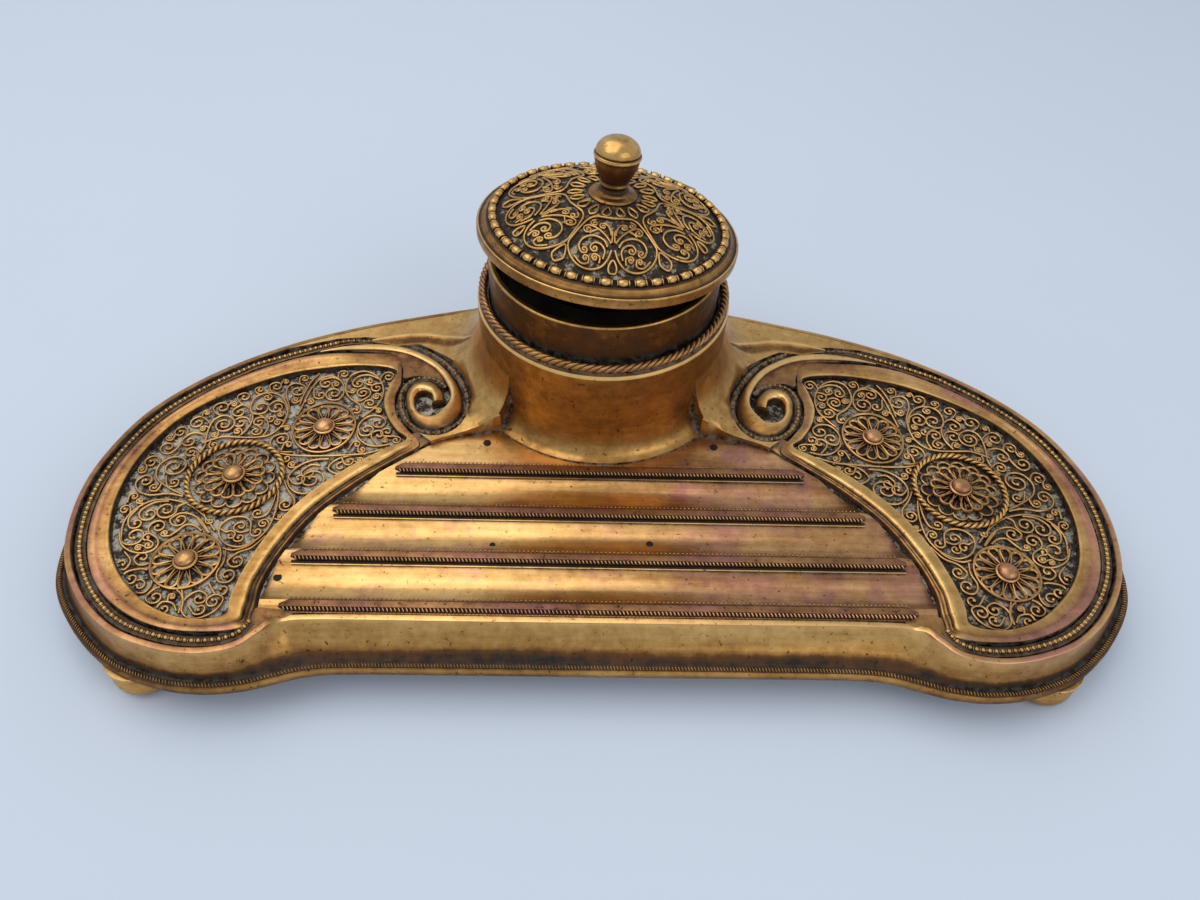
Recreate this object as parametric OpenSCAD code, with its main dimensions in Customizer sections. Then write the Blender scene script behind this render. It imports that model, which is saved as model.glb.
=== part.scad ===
// Gilt brass desk inkstand: a low stand with a concave pen tray, two filigree wings
// that end in volutes, and a round ink well whose lidded insert lifts out.
// X runs to the right, Y to the back and Z up. The origin is on the desk, under the
// middle of the stand.

/* [Stand] */
// Width of the stand across the base flange
stand_w = 264; // [256:1:272]
// Depth of the stand from the front lobes to the back of the well
stand_d = 134; // [131:1:138]
// Thickness of the base plate
base_t = 3; // [2:0.25:4]
// Height of the wall above the base plate
wall_h = 8.5; // [7:0.5:10]
// Width of the base flange outside the foot of the wall
flange_w = 2.3; // [1.6:0.1:2.6]
// Reach of the flange behind the well
back_reach = 2.2; // [2:0.1:2.8]
// Width of the flat rim on top of the wall
rim_w = 1.4; // [1:0.1:1.8]
// Width of the milled strip on the flange
milling_w = 1.2; // [0.8:0.1:1.4]
// Height of the milled strip on the flange
milling_h = 0.6; // [0.4:0.1:1]
// Thickness of the deck that closes the stand
deck_t = 2; // [1.2:0.2:2.6]

/* [Feet] */
// Height of the bun feet
foot_h = 8.5; // [7:0.5:10]
// Diameter of the bun feet
foot_d = 15.4; // [12:0.2:17]
// Diameter of the flat under each foot
foot_flat_d = 8; // [6:0.5:9]
// Thread diameter of the foot screws
foot_screw_d = 3; // [2.5:0.5:4]
// Depth of the foot screws in the feet
foot_screw_depth = 5; // [4:0.5:6]

/* [Pen tray] */
// Drop from the rim of the wings to the edge of the tray
tray_drop = 1.5; // [1:0.25:2]
// Thickness of the tray plate at its edge
tray_t = 2.5; // [2.4:0.1:3]
// Gap between the back rail and the flare of the well
rail_clear = 0.9; // [0.6:0.1:2]
// Distance of the front rail behind the inside of the front wall
rail_setback = 0.4; // [0.2:0.1:1]
// Width of a pen rail
rail_w = 3; // [2.4:0.1:3.4]
// Height of a pen rail above the edge of the tray
rail_h = 1; // [0.6:0.1:1.4]
// Depth of the channels between the rails
channel_depth = 1.5; // [1:0.1:1.7]
// Diameter of the pins that hold the tray
pin_d = 2; // [1.5:0.1:2.6]

/* [Wings] */
// Width of the bead strip inside the rim
strip_w = 3.5; // [3:0.1:3.8]
// Radius of one bead
bead_r = 0.85; // [0.6:0.05:1]
// Height of the ridge round a wing over the filigree edge
ridge_h = 1; // [0.6:0.1:1.2]
// Thickness of the plate behind the filigree
panel_t = 1.5; // [1:0.1:1.8]
// Thickness of the filigree wire
wire_t = 0.9; // [0.7:0.1:1.1]
// Width of the filigree wire
wire_w = 0.7; // [0.6:0.05:0.9]
// Height of the volutes over the rim
volute_h = 0.8; // [0.4:0.1:1.2]

/* [Rosettes] */
// Radius of the front rosettes
rosette_front_r = 8.2; // [7:0.1:8.6]
// Radius of the middle rosettes
rosette_middle_r = 9.8; // [8.6:0.1:10.2]
// Radius of the back rosettes
rosette_back_r = 8.4; // [7.2:0.1:8.8]
// Number of petals on a rosette
petal_count = 14; // [12:1:16]
// Radius of the domed centre of a rosette
boss_r = 2.4; // [2:0.1:2.8]
// Radius of the twisted ring round the middle rosettes
twist_ring_r = 11.6; // [11.2:0.1:11.9]
// Radius of the wire of the twisted ring
twist_wire_r = 0.85; // [0.6:0.05:1]

/* [Ink well] */
// Outer radius of the well drum
drum_r = 33.3; // [32.6:0.1:34]
// Height of the drum mouth over the rim
drum_h = 26.2; // [22:0.2:30]
// Radius of the bore in the drum
bore_r = 30.25; // [30:0.05:30.6]
// Clearance between the bore and the insert
socket_gap = 0.35; // [0.2:0.05:0.5]
// Outer radius of the flare at the front of the drum
flare_r = 37.5; // [36:0.1:38.5]
// Height of the flare
flare_h = 9; // [6:0.5:12]
// Radius of the twisted wire round the drum mouth
mouth_wire_r = 1.15; // [0.9:0.05:1.3]
// Height of the insert above the drum mouth
sleeve_rise = 12; // [10:0.5:14]
// Wall of the metal sleeve of the insert
sleeve_t = 1.5; // [1:0.1:2]
// Wall of the glass ink pot
pot_t = 2.8; // [2:0.1:3.5]
// Radius of the mouth of the ink pot
pot_mouth_r = 21; // [17:0.5:23]

/* [Lid] */
// Outer radius of the lid
lid_r = 32.7; // [31.8:0.1:33]
// Height of the band round the lid
lid_band_h = 3.4; // [2.8:0.1:4]
// Height of the bead seat over the underside of the lid
bead_seat_h = 4.6; // [4.2:0.1:5]
// Radius of the bead-and-reel ring on the lid
lid_bead_ring_r = 28.9; // [28.6:0.1:29.4]
// Radius at which the dome meets the lid
dome_r = 27.2; // [26.8:0.1:27.4]
// Height of the dome over the bead seat
dome_rise = 6.8; // [5:0.2:8]
// Thickness of the dome
dome_t = 1.2; // [0.8:0.1:1.4]
// Fullness of the dome: a higher value gives steeper sides and a flatter top
dome_fullness = 3; // [2.4:0.1:3.6]
// Depth of the valleys between the six lobes of the dome
lobe_depth = 0.9; // [0.4:0.1:1.2]
// Angle at which the lid stands ajar
lid_ajar = 6.9; // [2:0.1:8]
// Turn of the insert in the drum, which brings the hinge round from the back to the right
insert_turn = 38; // [0:1:60]
// Gap between the closed lid and the insert
lid_gap = 0.3; // [0.2:0.05:0.5]
// Radius of the hinge barrel
hinge_r = 2; // [1.7:0.1:2.2]
// Diameter of the hinge pin
hinge_pin_d = 1.6; // [1.2:0.1:2]
// Length of the middle knuckle
knuckle_w = 8; // [6:0.5:9]
// Length of each outer knuckle
outer_knuckle_w = 5; // [4:0.5:6]

/* [Knob] */
// Radius of the knob at its ridge
knob_r = 5.8; // [5:0.1:6.5]
// Radius of the foot of the knob
knob_foot_r = 6; // [5.2:0.1:7]
// Height of the knob's ridge over the dome
knob_ridge_h = 10.3; // [9.6:0.1:11.6]
// Height of the cap of the knob over its ridge
knob_cap_h = 4.4; // [3.8:0.1:5]
// Radius of the waist of the knob
knob_waist_r = 3.1; // [2.4:0.1:3.6]
// Diameter of the stud that fastens the knob
stud_d = 3; // [2:0.2:3.6]

/* [Hidden] */
$fn = 64;

// Heights of the main levels over the desk
base_z = foot_h + base_t;
rim_z = base_z + wall_h;
tray_z = rim_z - tray_drop;
deck_z = tray_z - tray_t;
panel_z = deck_z + panel_t;
mouth_z = rim_z + drum_h;
sleeve_z = mouth_z + sleeve_rise;
lid_z = sleeve_z + lid_gap;
well_floor_z = rim_z + 0.5;

// The plan is drawn for this width and depth, and stretched to the stand's own
plan_w = 264;
plan_d = 134;
well_y = stand_d / 2 - back_reach - drum_r;

// Samples on each stretch of a plan curve
curve_steps = 3;

// Stations round the right half of the stand, front middle to back:
// a point on the top edge of the wall, and the one beside it on the base flange
half_stations = [
    [[0, -52.8], [0, -61.6]],
    [[34, -52.8], [34, -61.6]],
    [[62, -52.8], [58, -61.7]],
    [[71.5, -53.6], [66.5, -62.6]],
    [[75.4, -57.2], [72.5, -64.3]],
    [[80, -61], [79.5, -66.2]],
    [[88.5, -62.5], [88.5, -67]],
    [[98.5, -61], [98.8, -65.6]],
    [[108.6, -56.8], [110, -61.2]],
    [[118, -48.4], [121.2, -51.8]],
    [[125, -36.5], [129.8, -39]],
    [[127.8, -20.8], [132, -21.5]],
    [[126, -6], [130, -4.8]],
    [[119.5, 9.6], [123.2, 11.9]],
    [[107, 23.6], [110, 27]],
    [[90, 35.4], [92.2, 39.3]],
    [[71, 44], [72.5, 48]],
    [[52, 50], [53, 54]],
    [[36.5, 54.2], [37.5, 58.2]],
];
// Directions of the stations round the back of the well, in degrees from straight back
back_angles = [47, 28, 13, 0];

// Stations round the opening of the right wing: outer and inner edge of its gold frame
frame_stations = [
    [[79.2, -56.2], [84, -52.4]],
    [[88.5, -57.4], [90.5, -53.8]],
    [[98, -56.2], [98, -52]],
    [[107.3, -52], [104.5, -48]],
    [[115.3, -44.8], [111.5, -41]],
    [[120.8, -34], [116.4, -32]],
    [[122.8, -20.5], [118.8, -20]],
    [[121, -6.8], [117.4, -6.5]],
    [[115, 6.6], [111.5, 6.6]],
    [[103.8, 19.2], [102, 16]],
    [[89.5, 28.8], [88, 24]],
    [[79, 32.4], [76, 27.4]],
    [[68, 33.4], [66, 28.6]],
    [[58.2, 32.4], [57.6, 26.8]],
    [[55.4, 22.8], [58.7, 20.5]],
    [[56.2, 16], [59.2, 14.8]],
    [[54.7, 9], [57.4, 9]],
    [[51, 3.8], [54.2, 4]],
    [[47.4, -1.2], [51.3, 0.9]],
    [[52.6, -5.8], [57, -3.2]],
    [[61.4, -13.6], [65.5, -10.2]],
    [[70.1, -23.9], [73.8, -19.5]],
    [[75.3, -34.4], [79.6, -30]],
    [[77.9, -43.5], [83, -41]],
    [[77.9, -51.6], [84, -48]],
];

// Edge of the tray beside the right wing, from the well to the front
arc_edge = [[29, 5], [37, 3], [44.6, -0.2], [52.1, -6.1], [61, -13.9], [69.7, -24.1],
    [74.9, -34.5], [77.5, -43.5], [77.4, -50.6]];

// Volute of the right wing: direction round its eye in degrees, outer edge, crest
// and inner edge of the scroll
volute_eye = [46.5, 13.2];
volute_stations = [
    [31, 39.1, 38.9, 38.7],
    [45, 33.3, 31.8, 30.2],
    [64, 26, 24.2, 22.4],
    [84, 19, 17, 15.4],
    [112, 12.6, 10.6, 9.2],
    [150, 9.4, 7.2, 6],
    [205, 9.1, 5.2, 4.1],
    [250, 9.3, 5.8, 4.6],
    [295, 7.2, 5.3, 4.3],
    [330, 6.2, 4.9, 3.9],
    [368, 6.7, 5.2, 4.1],
    [395, 8.4, 6.6, 5],
    [420, 9.9, 7.7, 5.8],
    [445, 9.2, 6.2, 4.2],
    [470, 6.8, 3.6, 2],
    [515, 3.9, 1.6, 0.6],
];
// Half width of the bead strip, and its distance from the scroll and from the saddle
bead_half_w = 0.9;
strip_gap = 0.4;

function at(p) = [p.x * stand_w / plan_w, p.y * stand_d / plan_d];
function unit(v) = v / norm(v);
function flip(p, side) = [side * p.x, p.y];
function reverse(list) = [for (i = [len(list) - 1:-1:0]) list[i]];
function blend(a, b, t) = a + (b - a) * t;
function spline(a, b, c, d, t) =
    0.5 * (2 * b + (c - a) * t + (2 * a - 5 * b + 4 * c - d) * t * t
    + (3 * b - a - 3 * c + d) * t * t * t);
function open_curve(p, n) = [for (i = [0:len(p) - 2], k = [0:n - 1])
    spline(p[max(i - 1, 0)], p[i], p[i + 1], p[min(i + 2, len(p) - 1)], k / n),
    p[len(p) - 1]];
function closed_curve(p, n) = let (m = len(p)) [for (i = [0:m - 1], k = [0:n - 1])
    spline(p[(i + m - 1) % m], p[i], p[(i + 1) % m], p[(i + 2) % m], k / n)];
function whole(half) = concat(half,
    [for (i = [len(half) - 2:-1:1]) flip(half[i], -1)]);

// Plan curves of the stand
function back_point(a, out) = let (r = drum_r + out)
    [r * sin(a), well_y + r * cos(a)];
top_half = concat([for (s = half_stations) at(s[0])],
    [back_point(back_angles[0], 2.6), back_point(back_angles[1], 0.9),
    back_point(back_angles[2], 0), back_point(back_angles[3], 0)]);
flange_half = concat([for (s = half_stations) at(s[1])],
    [back_point(back_angles[0], 5.6), back_point(back_angles[1], 3.4),
    back_point(back_angles[2], back_reach), back_point(back_angles[3], back_reach)]);
top_edge = closed_curve(whole(top_half), curve_steps);
flange_edge = closed_curve(whole(flange_half), curve_steps);
outward = [for (i = [0:len(top_edge) - 1]) unit(flange_edge[i] - top_edge[i])];
wall_foot = [for (i = [0:len(top_edge) - 1]) flange_edge[i] - outward[i] * flange_w];
wall_inside = [for (i = [0:len(top_edge) - 1]) top_edge[i] - outward[i] * rim_w];

// Height of the wall's top: the tray's edge at the front, the rim elsewhere
notch_x = 74 * stand_w / plan_w;
notch_run = 3;
function wall_top(p) = p.y > 0 ? rim_z
    : blend(tray_z, rim_z, min(1, max(0, (abs(p.x) - notch_x + notch_run) / notch_run)));

// Cove of the wall: how far in and how far up each level lies
cove = [[0, 0], [0.3, 0.14], [0.62, 0.38], [0.86, 0.68], [1, 1]];

// A closed ring solid: each entry of sections is a closed run of points in space
module ring_solid(sections) {
    n = len(sections);
    m = len(sections[0]);
    polyhedron(points = [for (s = sections) for (p = s) p],
        faces = [for (i = [0:n - 1], j = [0:m - 1])
            let (a = i * m + j, b = i * m + (j + 1) % m,
                c = ((i + 1) % n) * m + (j + 1) % m, d = ((i + 1) % n) * m + j)
            each [[a, b, c], [a, c, d]]]);
}

// An open run of sections, closed at its two ends
module run_solid(sections) {
    n = len(sections);
    m = len(sections[0]);
    polyhedron(points = [for (s = sections) for (p = s) p],
        faces = concat([[for (j = [m - 1:-1:0]) j]],
            [for (i = [0:n - 2], j = [0:m - 1])
                let (a = i * m + j, b = i * m + (j + 1) % m,
                    c = (i + 1) * m + (j + 1) % m, d = (i + 1) * m + j)
                each [[a, b, c], [a, c, d]]],
            [[for (j = [0:m - 1]) (n - 1) * m + j]]));
}

// Stand
module base_plate() {
    // The underside is recessed but for a border and a pad over each foot
    border = 6;
    recess = 1;
    pad_r = foot_d / 2;
    inside = [for (i = [0:len(flange_edge) - 1]) flange_edge[i] - outward[i] * border];
    color("#8a6a35") difference() {
        translate([0, 0, foot_h]) linear_extrude(base_t) polygon(flange_edge);
        difference() {
            translate([0, 0, foot_h - 1]) linear_extrude(recess + 1) polygon(inside);
            for (p = foot_places) translate([p.x, p.y, foot_h - 2])
                cylinder(r = pad_r, h = recess + 4);
        }
        for (p = foot_places) translate([p.x, p.y, foot_h - 1])
            cylinder(d = foot_screw_d, h = base_t + 2, $fn = 32);
    }
}
module base_milling() {
    outer = [for (i = [0:len(flange_edge) - 1])
        flange_edge[i] - outward[i] * (flange_w - milling_w) / 2];
    inner = [for (i = [0:len(outer) - 1]) outer[i] - outward[i] * milling_w];
    color("#6b5028") translate([0, 0, base_z]) linear_extrude(milling_h)
        polygon(points = concat(outer, inner),
            paths = [[for (i = [0:len(outer) - 1]) i],
                [for (i = [0:len(outer) - 1]) len(outer) + i]]);
}
module wall_band() {
    color("#b3873c") ring_solid([for (i = [0:len(top_edge) - 1])
        let (z = wall_top(top_edge[i]))
        concat([for (c = cove) let (p = blend(wall_foot[i], top_edge[i], c.x))
                [p.x, p.y, blend(base_z, z, c.y)]],
            [[wall_inside[i].x, wall_inside[i].y, z],
            [wall_inside[i].x, wall_inside[i].y, base_z]])]);
}
module deck_plate() {
    color("#7d6030") translate([0, 0, deck_z - deck_t]) linear_extrude(deck_t)
        polygon(wall_inside);
}

// Plans of what lies on the deck: the tray, the two wings and the saddle between them
arc_curve = open_curve([for (p = arc_edge) at(p)], curve_steps);
front_y = wall_inside[0].y;
// Indices on the wall's inner edge: the tray's front corner, the first bead and the
// place where the wing leaves the rim
corner_index = 10;
strip_first = 16;
strip_last = 44;
saddle_break = 45;
// Index on the tray's edge where the saddle's point ends
tail_index = 6;
volute_curve = open_curve(volute_stations, 4);
function volute_point(a, r) = at(volute_eye + r * [cos(a), sin(a)]);
// Outer edge of the scroll up to a direction, and the line beside it at a distance
function scroll_edge(last) = concat([at([75.5, 36.3]), at([68, 37.2])],
    [for (s = volute_curve) if (s[0] >= 64 && s[0] <= last) volute_point(s[0], s[1])]);
function beside(curve, gap) = let (n = len(curve)) [for (i = [0:n - 1])
    let (t = unit(curve[min(i + 1, n - 1)] - curve[max(i - 1, 0)]))
    curve[i] + gap * [t.y, -t.x]];
saddle_side = beside(scroll_edge(275), 2 * (strip_gap + bead_half_w));
tray_edge = [for (i = [1:corner_index]) wall_inside[i]];
module tray_plan() {
    polygon(concat(arc_curve, reverse(tray_edge), [wall_inside[0]],
        [for (p = tray_edge) flip(p, -1)], [for (p = reverse(arc_curve)) flip(p, -1)]));
}
module wing_plan(side) {
    rim = [for (i = [corner_index:saddle_break]) wall_inside[i]];
    arc = [for (i = [tail_index:len(arc_curve) - 1]) arc_curve[i]];
    polygon([for (p = concat(rim, saddle_side, arc)) flip(p, side)]);
}
module saddle_plan() {
    last = (len(top_half) - 1) * curve_steps;
    back = [for (i = [saddle_break:last]) wall_inside[i]];
    inner = concat(saddle_side, [for (i = [tail_index:-1:0]) arc_curve[i]]);
    polygon(concat(back, [for (p = reverse(back)) flip(p, -1)],
        [for (p = inner) flip(p, -1)], reverse(inner)));
}

// Places of the rails: the front one lies on the tray's front edge, the back one just clear
// of the well, and the others are spread evenly between them
rail_count = 4;
rail_front_y = front_y + rail_w / 2 + rail_setback;
rail_back_y = well_y - flare_r - rail_clear - rail_w / 2;
rail_pitch = (rail_back_y - rail_front_y) / (rail_count - 1);
function rail_y(i) = rail_back_y - (i - 1) * rail_pitch;
// Ends of a rail: a little short of the tray's edge
rail_end_gap = 2;
function edge_x(y) = let (hits = [for (i = [0:len(arc_curve) - 2])
    let (a = arc_curve[i], b = arc_curve[i + 1])
    if (a.y >= y && b.y <= y) blend(a, b, (a.y - y) / max(0.001, a.y - b.y)).x])
    hits[0];

// Profile of the tray along Y: a hollow between each pair of rails
function channel_profile(y0, y1) = [for (k = [0:10])
    let (t = k / 10) [blend(y0, y1, t),
        tray_z - channel_depth * pow(sin(180 * t), 0.8)]];
module pen_tray() {
    length = stand_w;
    back = well_y;
    profile = concat([[front_y, deck_z], [front_y, tray_z]],
        [for (i = [4:-1:2]) each channel_profile(rail_y(i) + rail_w / 2,
            rail_y(i - 1) - rail_w / 2)],
        [[back, tray_z], [back, deck_z]]);
    color("#b98d3d") difference() {
        intersection() {
            translate([0, 0, deck_z]) linear_extrude(tray_t) tray_plan();
            translate([-length / 2, 0, 0]) rotate([90, 0, 90])
                linear_extrude(length) polygon(profile);
        }
        translate([0, well_y, deck_z - 1])
            cylinder(r = drum_foot_r, h = tray_t + 2, $fn = 128);
        for (p = pin_places) translate([p.x, p.y, deck_z - 1])
            cylinder(d = pin_d, h = tray_t + 2, $fn = 24);
    }
}
module pen_rail(i) {
    end_x = edge_x(rail_y(i)) - rail_end_gap;
    // The rail's section: a flat top, a bevel behind and a step in front
    section = [[-rail_w / 2, 0], [-rail_w / 2, rail_h * 0.6], [-rail_w * 0.3, rail_h],
        [rail_w * 0.35, rail_h], [rail_w / 2, rail_h * 0.5], [rail_w / 2, 0]];
    color("#a2603f") translate([-end_x, rail_y(i), tray_z]) rotate([90, 0, 90])
        linear_extrude(2 * end_x) polygon(section);
}
module tray_pins() {
    color("#5c4526") for (p = pin_places) translate([p.x, p.y, deck_z])
        cylinder(d = pin_d, h = tray_t + 0.15, $fn = 24);
}
pin_places = [at([-30, 0.8]), at([30, 0.8])];

// Saddle behind the wings, which rises to the drum in a wide flare
drum_foot_r = drum_r - rim_w - 0.4;
saddle_rise = 16;
saddle_reach = 15;
flare_sweep = 92;
module shoulder_saddle() {
    steps = 8;
    over = 0.1;
    flare = [for (k = [0:steps]) let (a = 90 * k / steps)
        [drum_r + saddle_reach * (1 - sin(a)), rim_z + saddle_rise * (1 - cos(a))]];
    color("#8f6a33") difference() {
        union() {
            translate([0, 0, deck_z]) linear_extrude(rim_z - deck_z) saddle_plan();
            intersection() {
                translate([0, 0, rim_z - over]) linear_extrude(saddle_rise + over)
                    saddle_plan();
                translate([0, well_y, 0]) rotate_extrude($fn = 128)
                    polygon(concat([[drum_r - 2, rim_z - over]],
                        [[drum_r + saddle_reach, rim_z - over]], flare,
                        [[drum_r - 2, rim_z + saddle_rise]]));
            }
        }
        translate([0, well_y, deck_z - 1]) cylinder(r = drum_foot_r, h = rim_z, $fn = 128);
        translate([0, well_y, rim_z]) cylinder(r = drum_r, h = drum_h, $fn = 128);
        translate([0, well_y, deck_z - 1]) rotate([0, 0, -90 - flare_sweep / 2])
            rotate_extrude(angle = flare_sweep, $fn = 128) square([flare_r, drum_h]);
    }
}

// Wings
frame_outer = closed_curve([for (s = frame_stations) at(s[0])], curve_steps);
frame_inner = closed_curve([for (s = frame_stations) at(s[1])], curve_steps);
frame_low_z = rim_z - ridge_h;
module wing_frame(side) {
    n = len(frame_outer);
    color("#c29a48") ring_solid([for (k = [0:n - 1])
        let (i = side > 0 ? k : n - 1 - k, a = frame_outer[i], b = frame_inner[i])
        [for (q = [[0, panel_z], [0, rim_z - 0.4], [0.12, rim_z], [0.34, rim_z],
                [0.6, blend(frame_low_z, rim_z, 0.3)], [0.96, frame_low_z],
                [1, frame_low_z - 0.3], [1, panel_z]])
            let (p = flip(blend(a, b, q[0]), side)) [p.x, p.y, q[1]]]]);
}
// Path of the bead strip: along the rim, then round the volute
strip_rim = [for (i = [strip_first:strip_last])
    top_edge[i] - outward[i] * (rim_w + strip_w / 2)];
strip_curve = concat(strip_rim, beside(scroll_edge(470), strip_gap + bead_half_w));
module wing_beading(side) {
    n = len(strip_curve);
    // Half section of the strip: from its middle outward, and how far below the rim
    section = [[1, rim_z - 0.9], [0.5, rim_z - 0.3], [-0.5, rim_z - 0.3], [-1, rim_z - 0.9]];
    color("#8c7443") run_solid([for (k = [0:n - 1])
        let (i = side > 0 ? k : n - 1 - k,
            ahead = strip_curve[min(i + 1, n - 1)] - strip_curve[max(i - 1, 0)],
            across = bead_half_w * unit([ahead.y, -ahead.x]))
        [for (q = concat([[1, panel_z]], section, [[-1, panel_z]]))
            let (p = flip(strip_curve[i] + across * q[0], side)) [p.x, p.y, q[1]]]]);
}
module wing_panel(side) {
    color("#6d6656") translate([0, 0, deck_z]) linear_extrude(panel_t) wing_plan(side);
}
module volute(side) {
    n = len(volute_curve);
    color("#c79d49") run_solid([for (k = [0:n - 1])
        let (i = side > 0 ? k : n - 1 - k, s = volute_curve[i],
            rise = volute_h * min(1, (s[0] - 42) / 90))
        [for (q = [[s[1], panel_z], [s[1], rim_z - 1.2], [blend(s[1], s[2], 0.5), rim_z - 0.1
                + rise * 0.7], [s[2], rim_z + rise], [blend(s[2], s[3], 0.6), rim_z
                + rise - 0.2], [s[3], rim_z - 0.6], [s[3], panel_z]])
            let (p = flip(volute_point(s[0], q[0]), side)) [p.x, p.y, q[1]]]]);
}

// Shift of the rosettes and of the filigree from their drawing to the plan
filigree_place = [-0.5, 0.7];

// Rosettes: openwork petals round a domed centre. The back ones are a little oval.
rosette_front = [97.8, -38.3] + filigree_place;
rosette_middle = [93.1, -12.8] + filigree_place;
rosette_back = [74.2, 5] + filigree_place;
back_oval = 1.12;
petal_h = 0.9;
petal_wire = 0.6;
petal_scallop = 0.9;
ring_wire = 0.8;
// Round petals between two radii, with a teardrop opening in each
module petals(inner, outer, scalloped) {
    step = 360 / petal_count;
    samples = 6;
    belly = (outer - petal_wire) / (1 + sin(step / 2));
    belly_r = belly * sin(step / 2) - petal_wire / 2;
    scallop = scalloped ? petal_scallop : 0;
    outline = [for (i = [0:petal_count * samples - 1]) let (a = i * step / samples)
        (outer - scallop * (1 - abs(cos(a * petal_count / 2)))) * [cos(a), sin(a)]];
    openings = [for (i = [0:petal_count - 1]) let (a = i * step)
        concat([(inner + petal_wire) * [cos(a), sin(a)]],
            [for (t = [-80:40:80])
                belly * [cos(a), sin(a)] + belly_r * [cos(a + t), sin(a + t)]])];
    n = len(outline);
    m = len(openings[0]);
    linear_extrude(petal_h) polygon(points = concat(outline, [for (o = openings) each o]),
        paths = concat([[for (k = [0:n - 1]) k]],
            [for (i = [0:petal_count - 1]) [for (k = [0:m - 1]) n + i * m + k]]));
}
module boss() {
    // A shallow dome on a short collar
    collar_r = boss_r + 0.5;
    collar_h = 0.5;
    dome_h = 1.5;
    ball_r = (boss_r * boss_r + dome_h * dome_h) / (2 * dome_h);
    cylinder(r = collar_r, h = collar_h, $fn = 48);
    translate([0, 0, collar_h]) intersection() {
        translate([0, 0, dome_h - ball_r]) sphere(ball_r, $fn = 48);
        cylinder(r = boss_r, h = dome_h + 1, $fn = 48);
    }
}
// A flower in a plain ring: the ring's radii along X and along Y
module rosette(place, r, oval_r, side) {
    c = flip(at(place), side);
    ring_rise = 0.3;
    over = 0.1;
    color("#b98a4a") translate([c.x, c.y, panel_z]) {
        linear_extrude(petal_h + ring_rise) offset(delta = over / 10) difference() {
            scale([r, oval_r]) circle(1, $fn = 72);
            scale([r - ring_wire, oval_r - ring_wire]) circle(1, $fn = 72);
        }
        petals(boss_r, r - ring_wire + over, false);
        translate([0, 0, petal_h]) boss();
    }
}
module front_rosette(side) {
    rosette(rosette_front, rosette_front_r, rosette_front_r, side);
}
module back_rosette(side) {
    rosette(rosette_back, rosette_back_r, rosette_back_r * back_oval, side);
}
// The middle rosettes have a second, smaller flower on the first
module middle_rosette(side) {
    c = flip(at(rosette_middle), side);
    upper_r = rosette_middle_r * 0.74;
    color("#b98a4a") translate([c.x, c.y, panel_z]) {
        petals(boss_r, rosette_middle_r, true);
        translate([0, 0, petal_h]) rotate(180 / petal_count) petals(boss_r, upper_r, true);
        translate([0, 0, 2 * petal_h]) boss();
    }
}
module rosette_plan(place, r, oval, side) {
    c = flip(at(place), side);
    translate(c) scale([1, oval]) circle(r, $fn = 72);
}
module twist_ring(side) {
    c = flip(at(rosette_middle), side);
    color("#b98a4a") translate([c.x, c.y, panel_z]) rotate_extrude($fn = 96)
        translate([twist_ring_r, twist_wire_r]) circle(twist_wire_r, $fn = 24);
}

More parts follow.
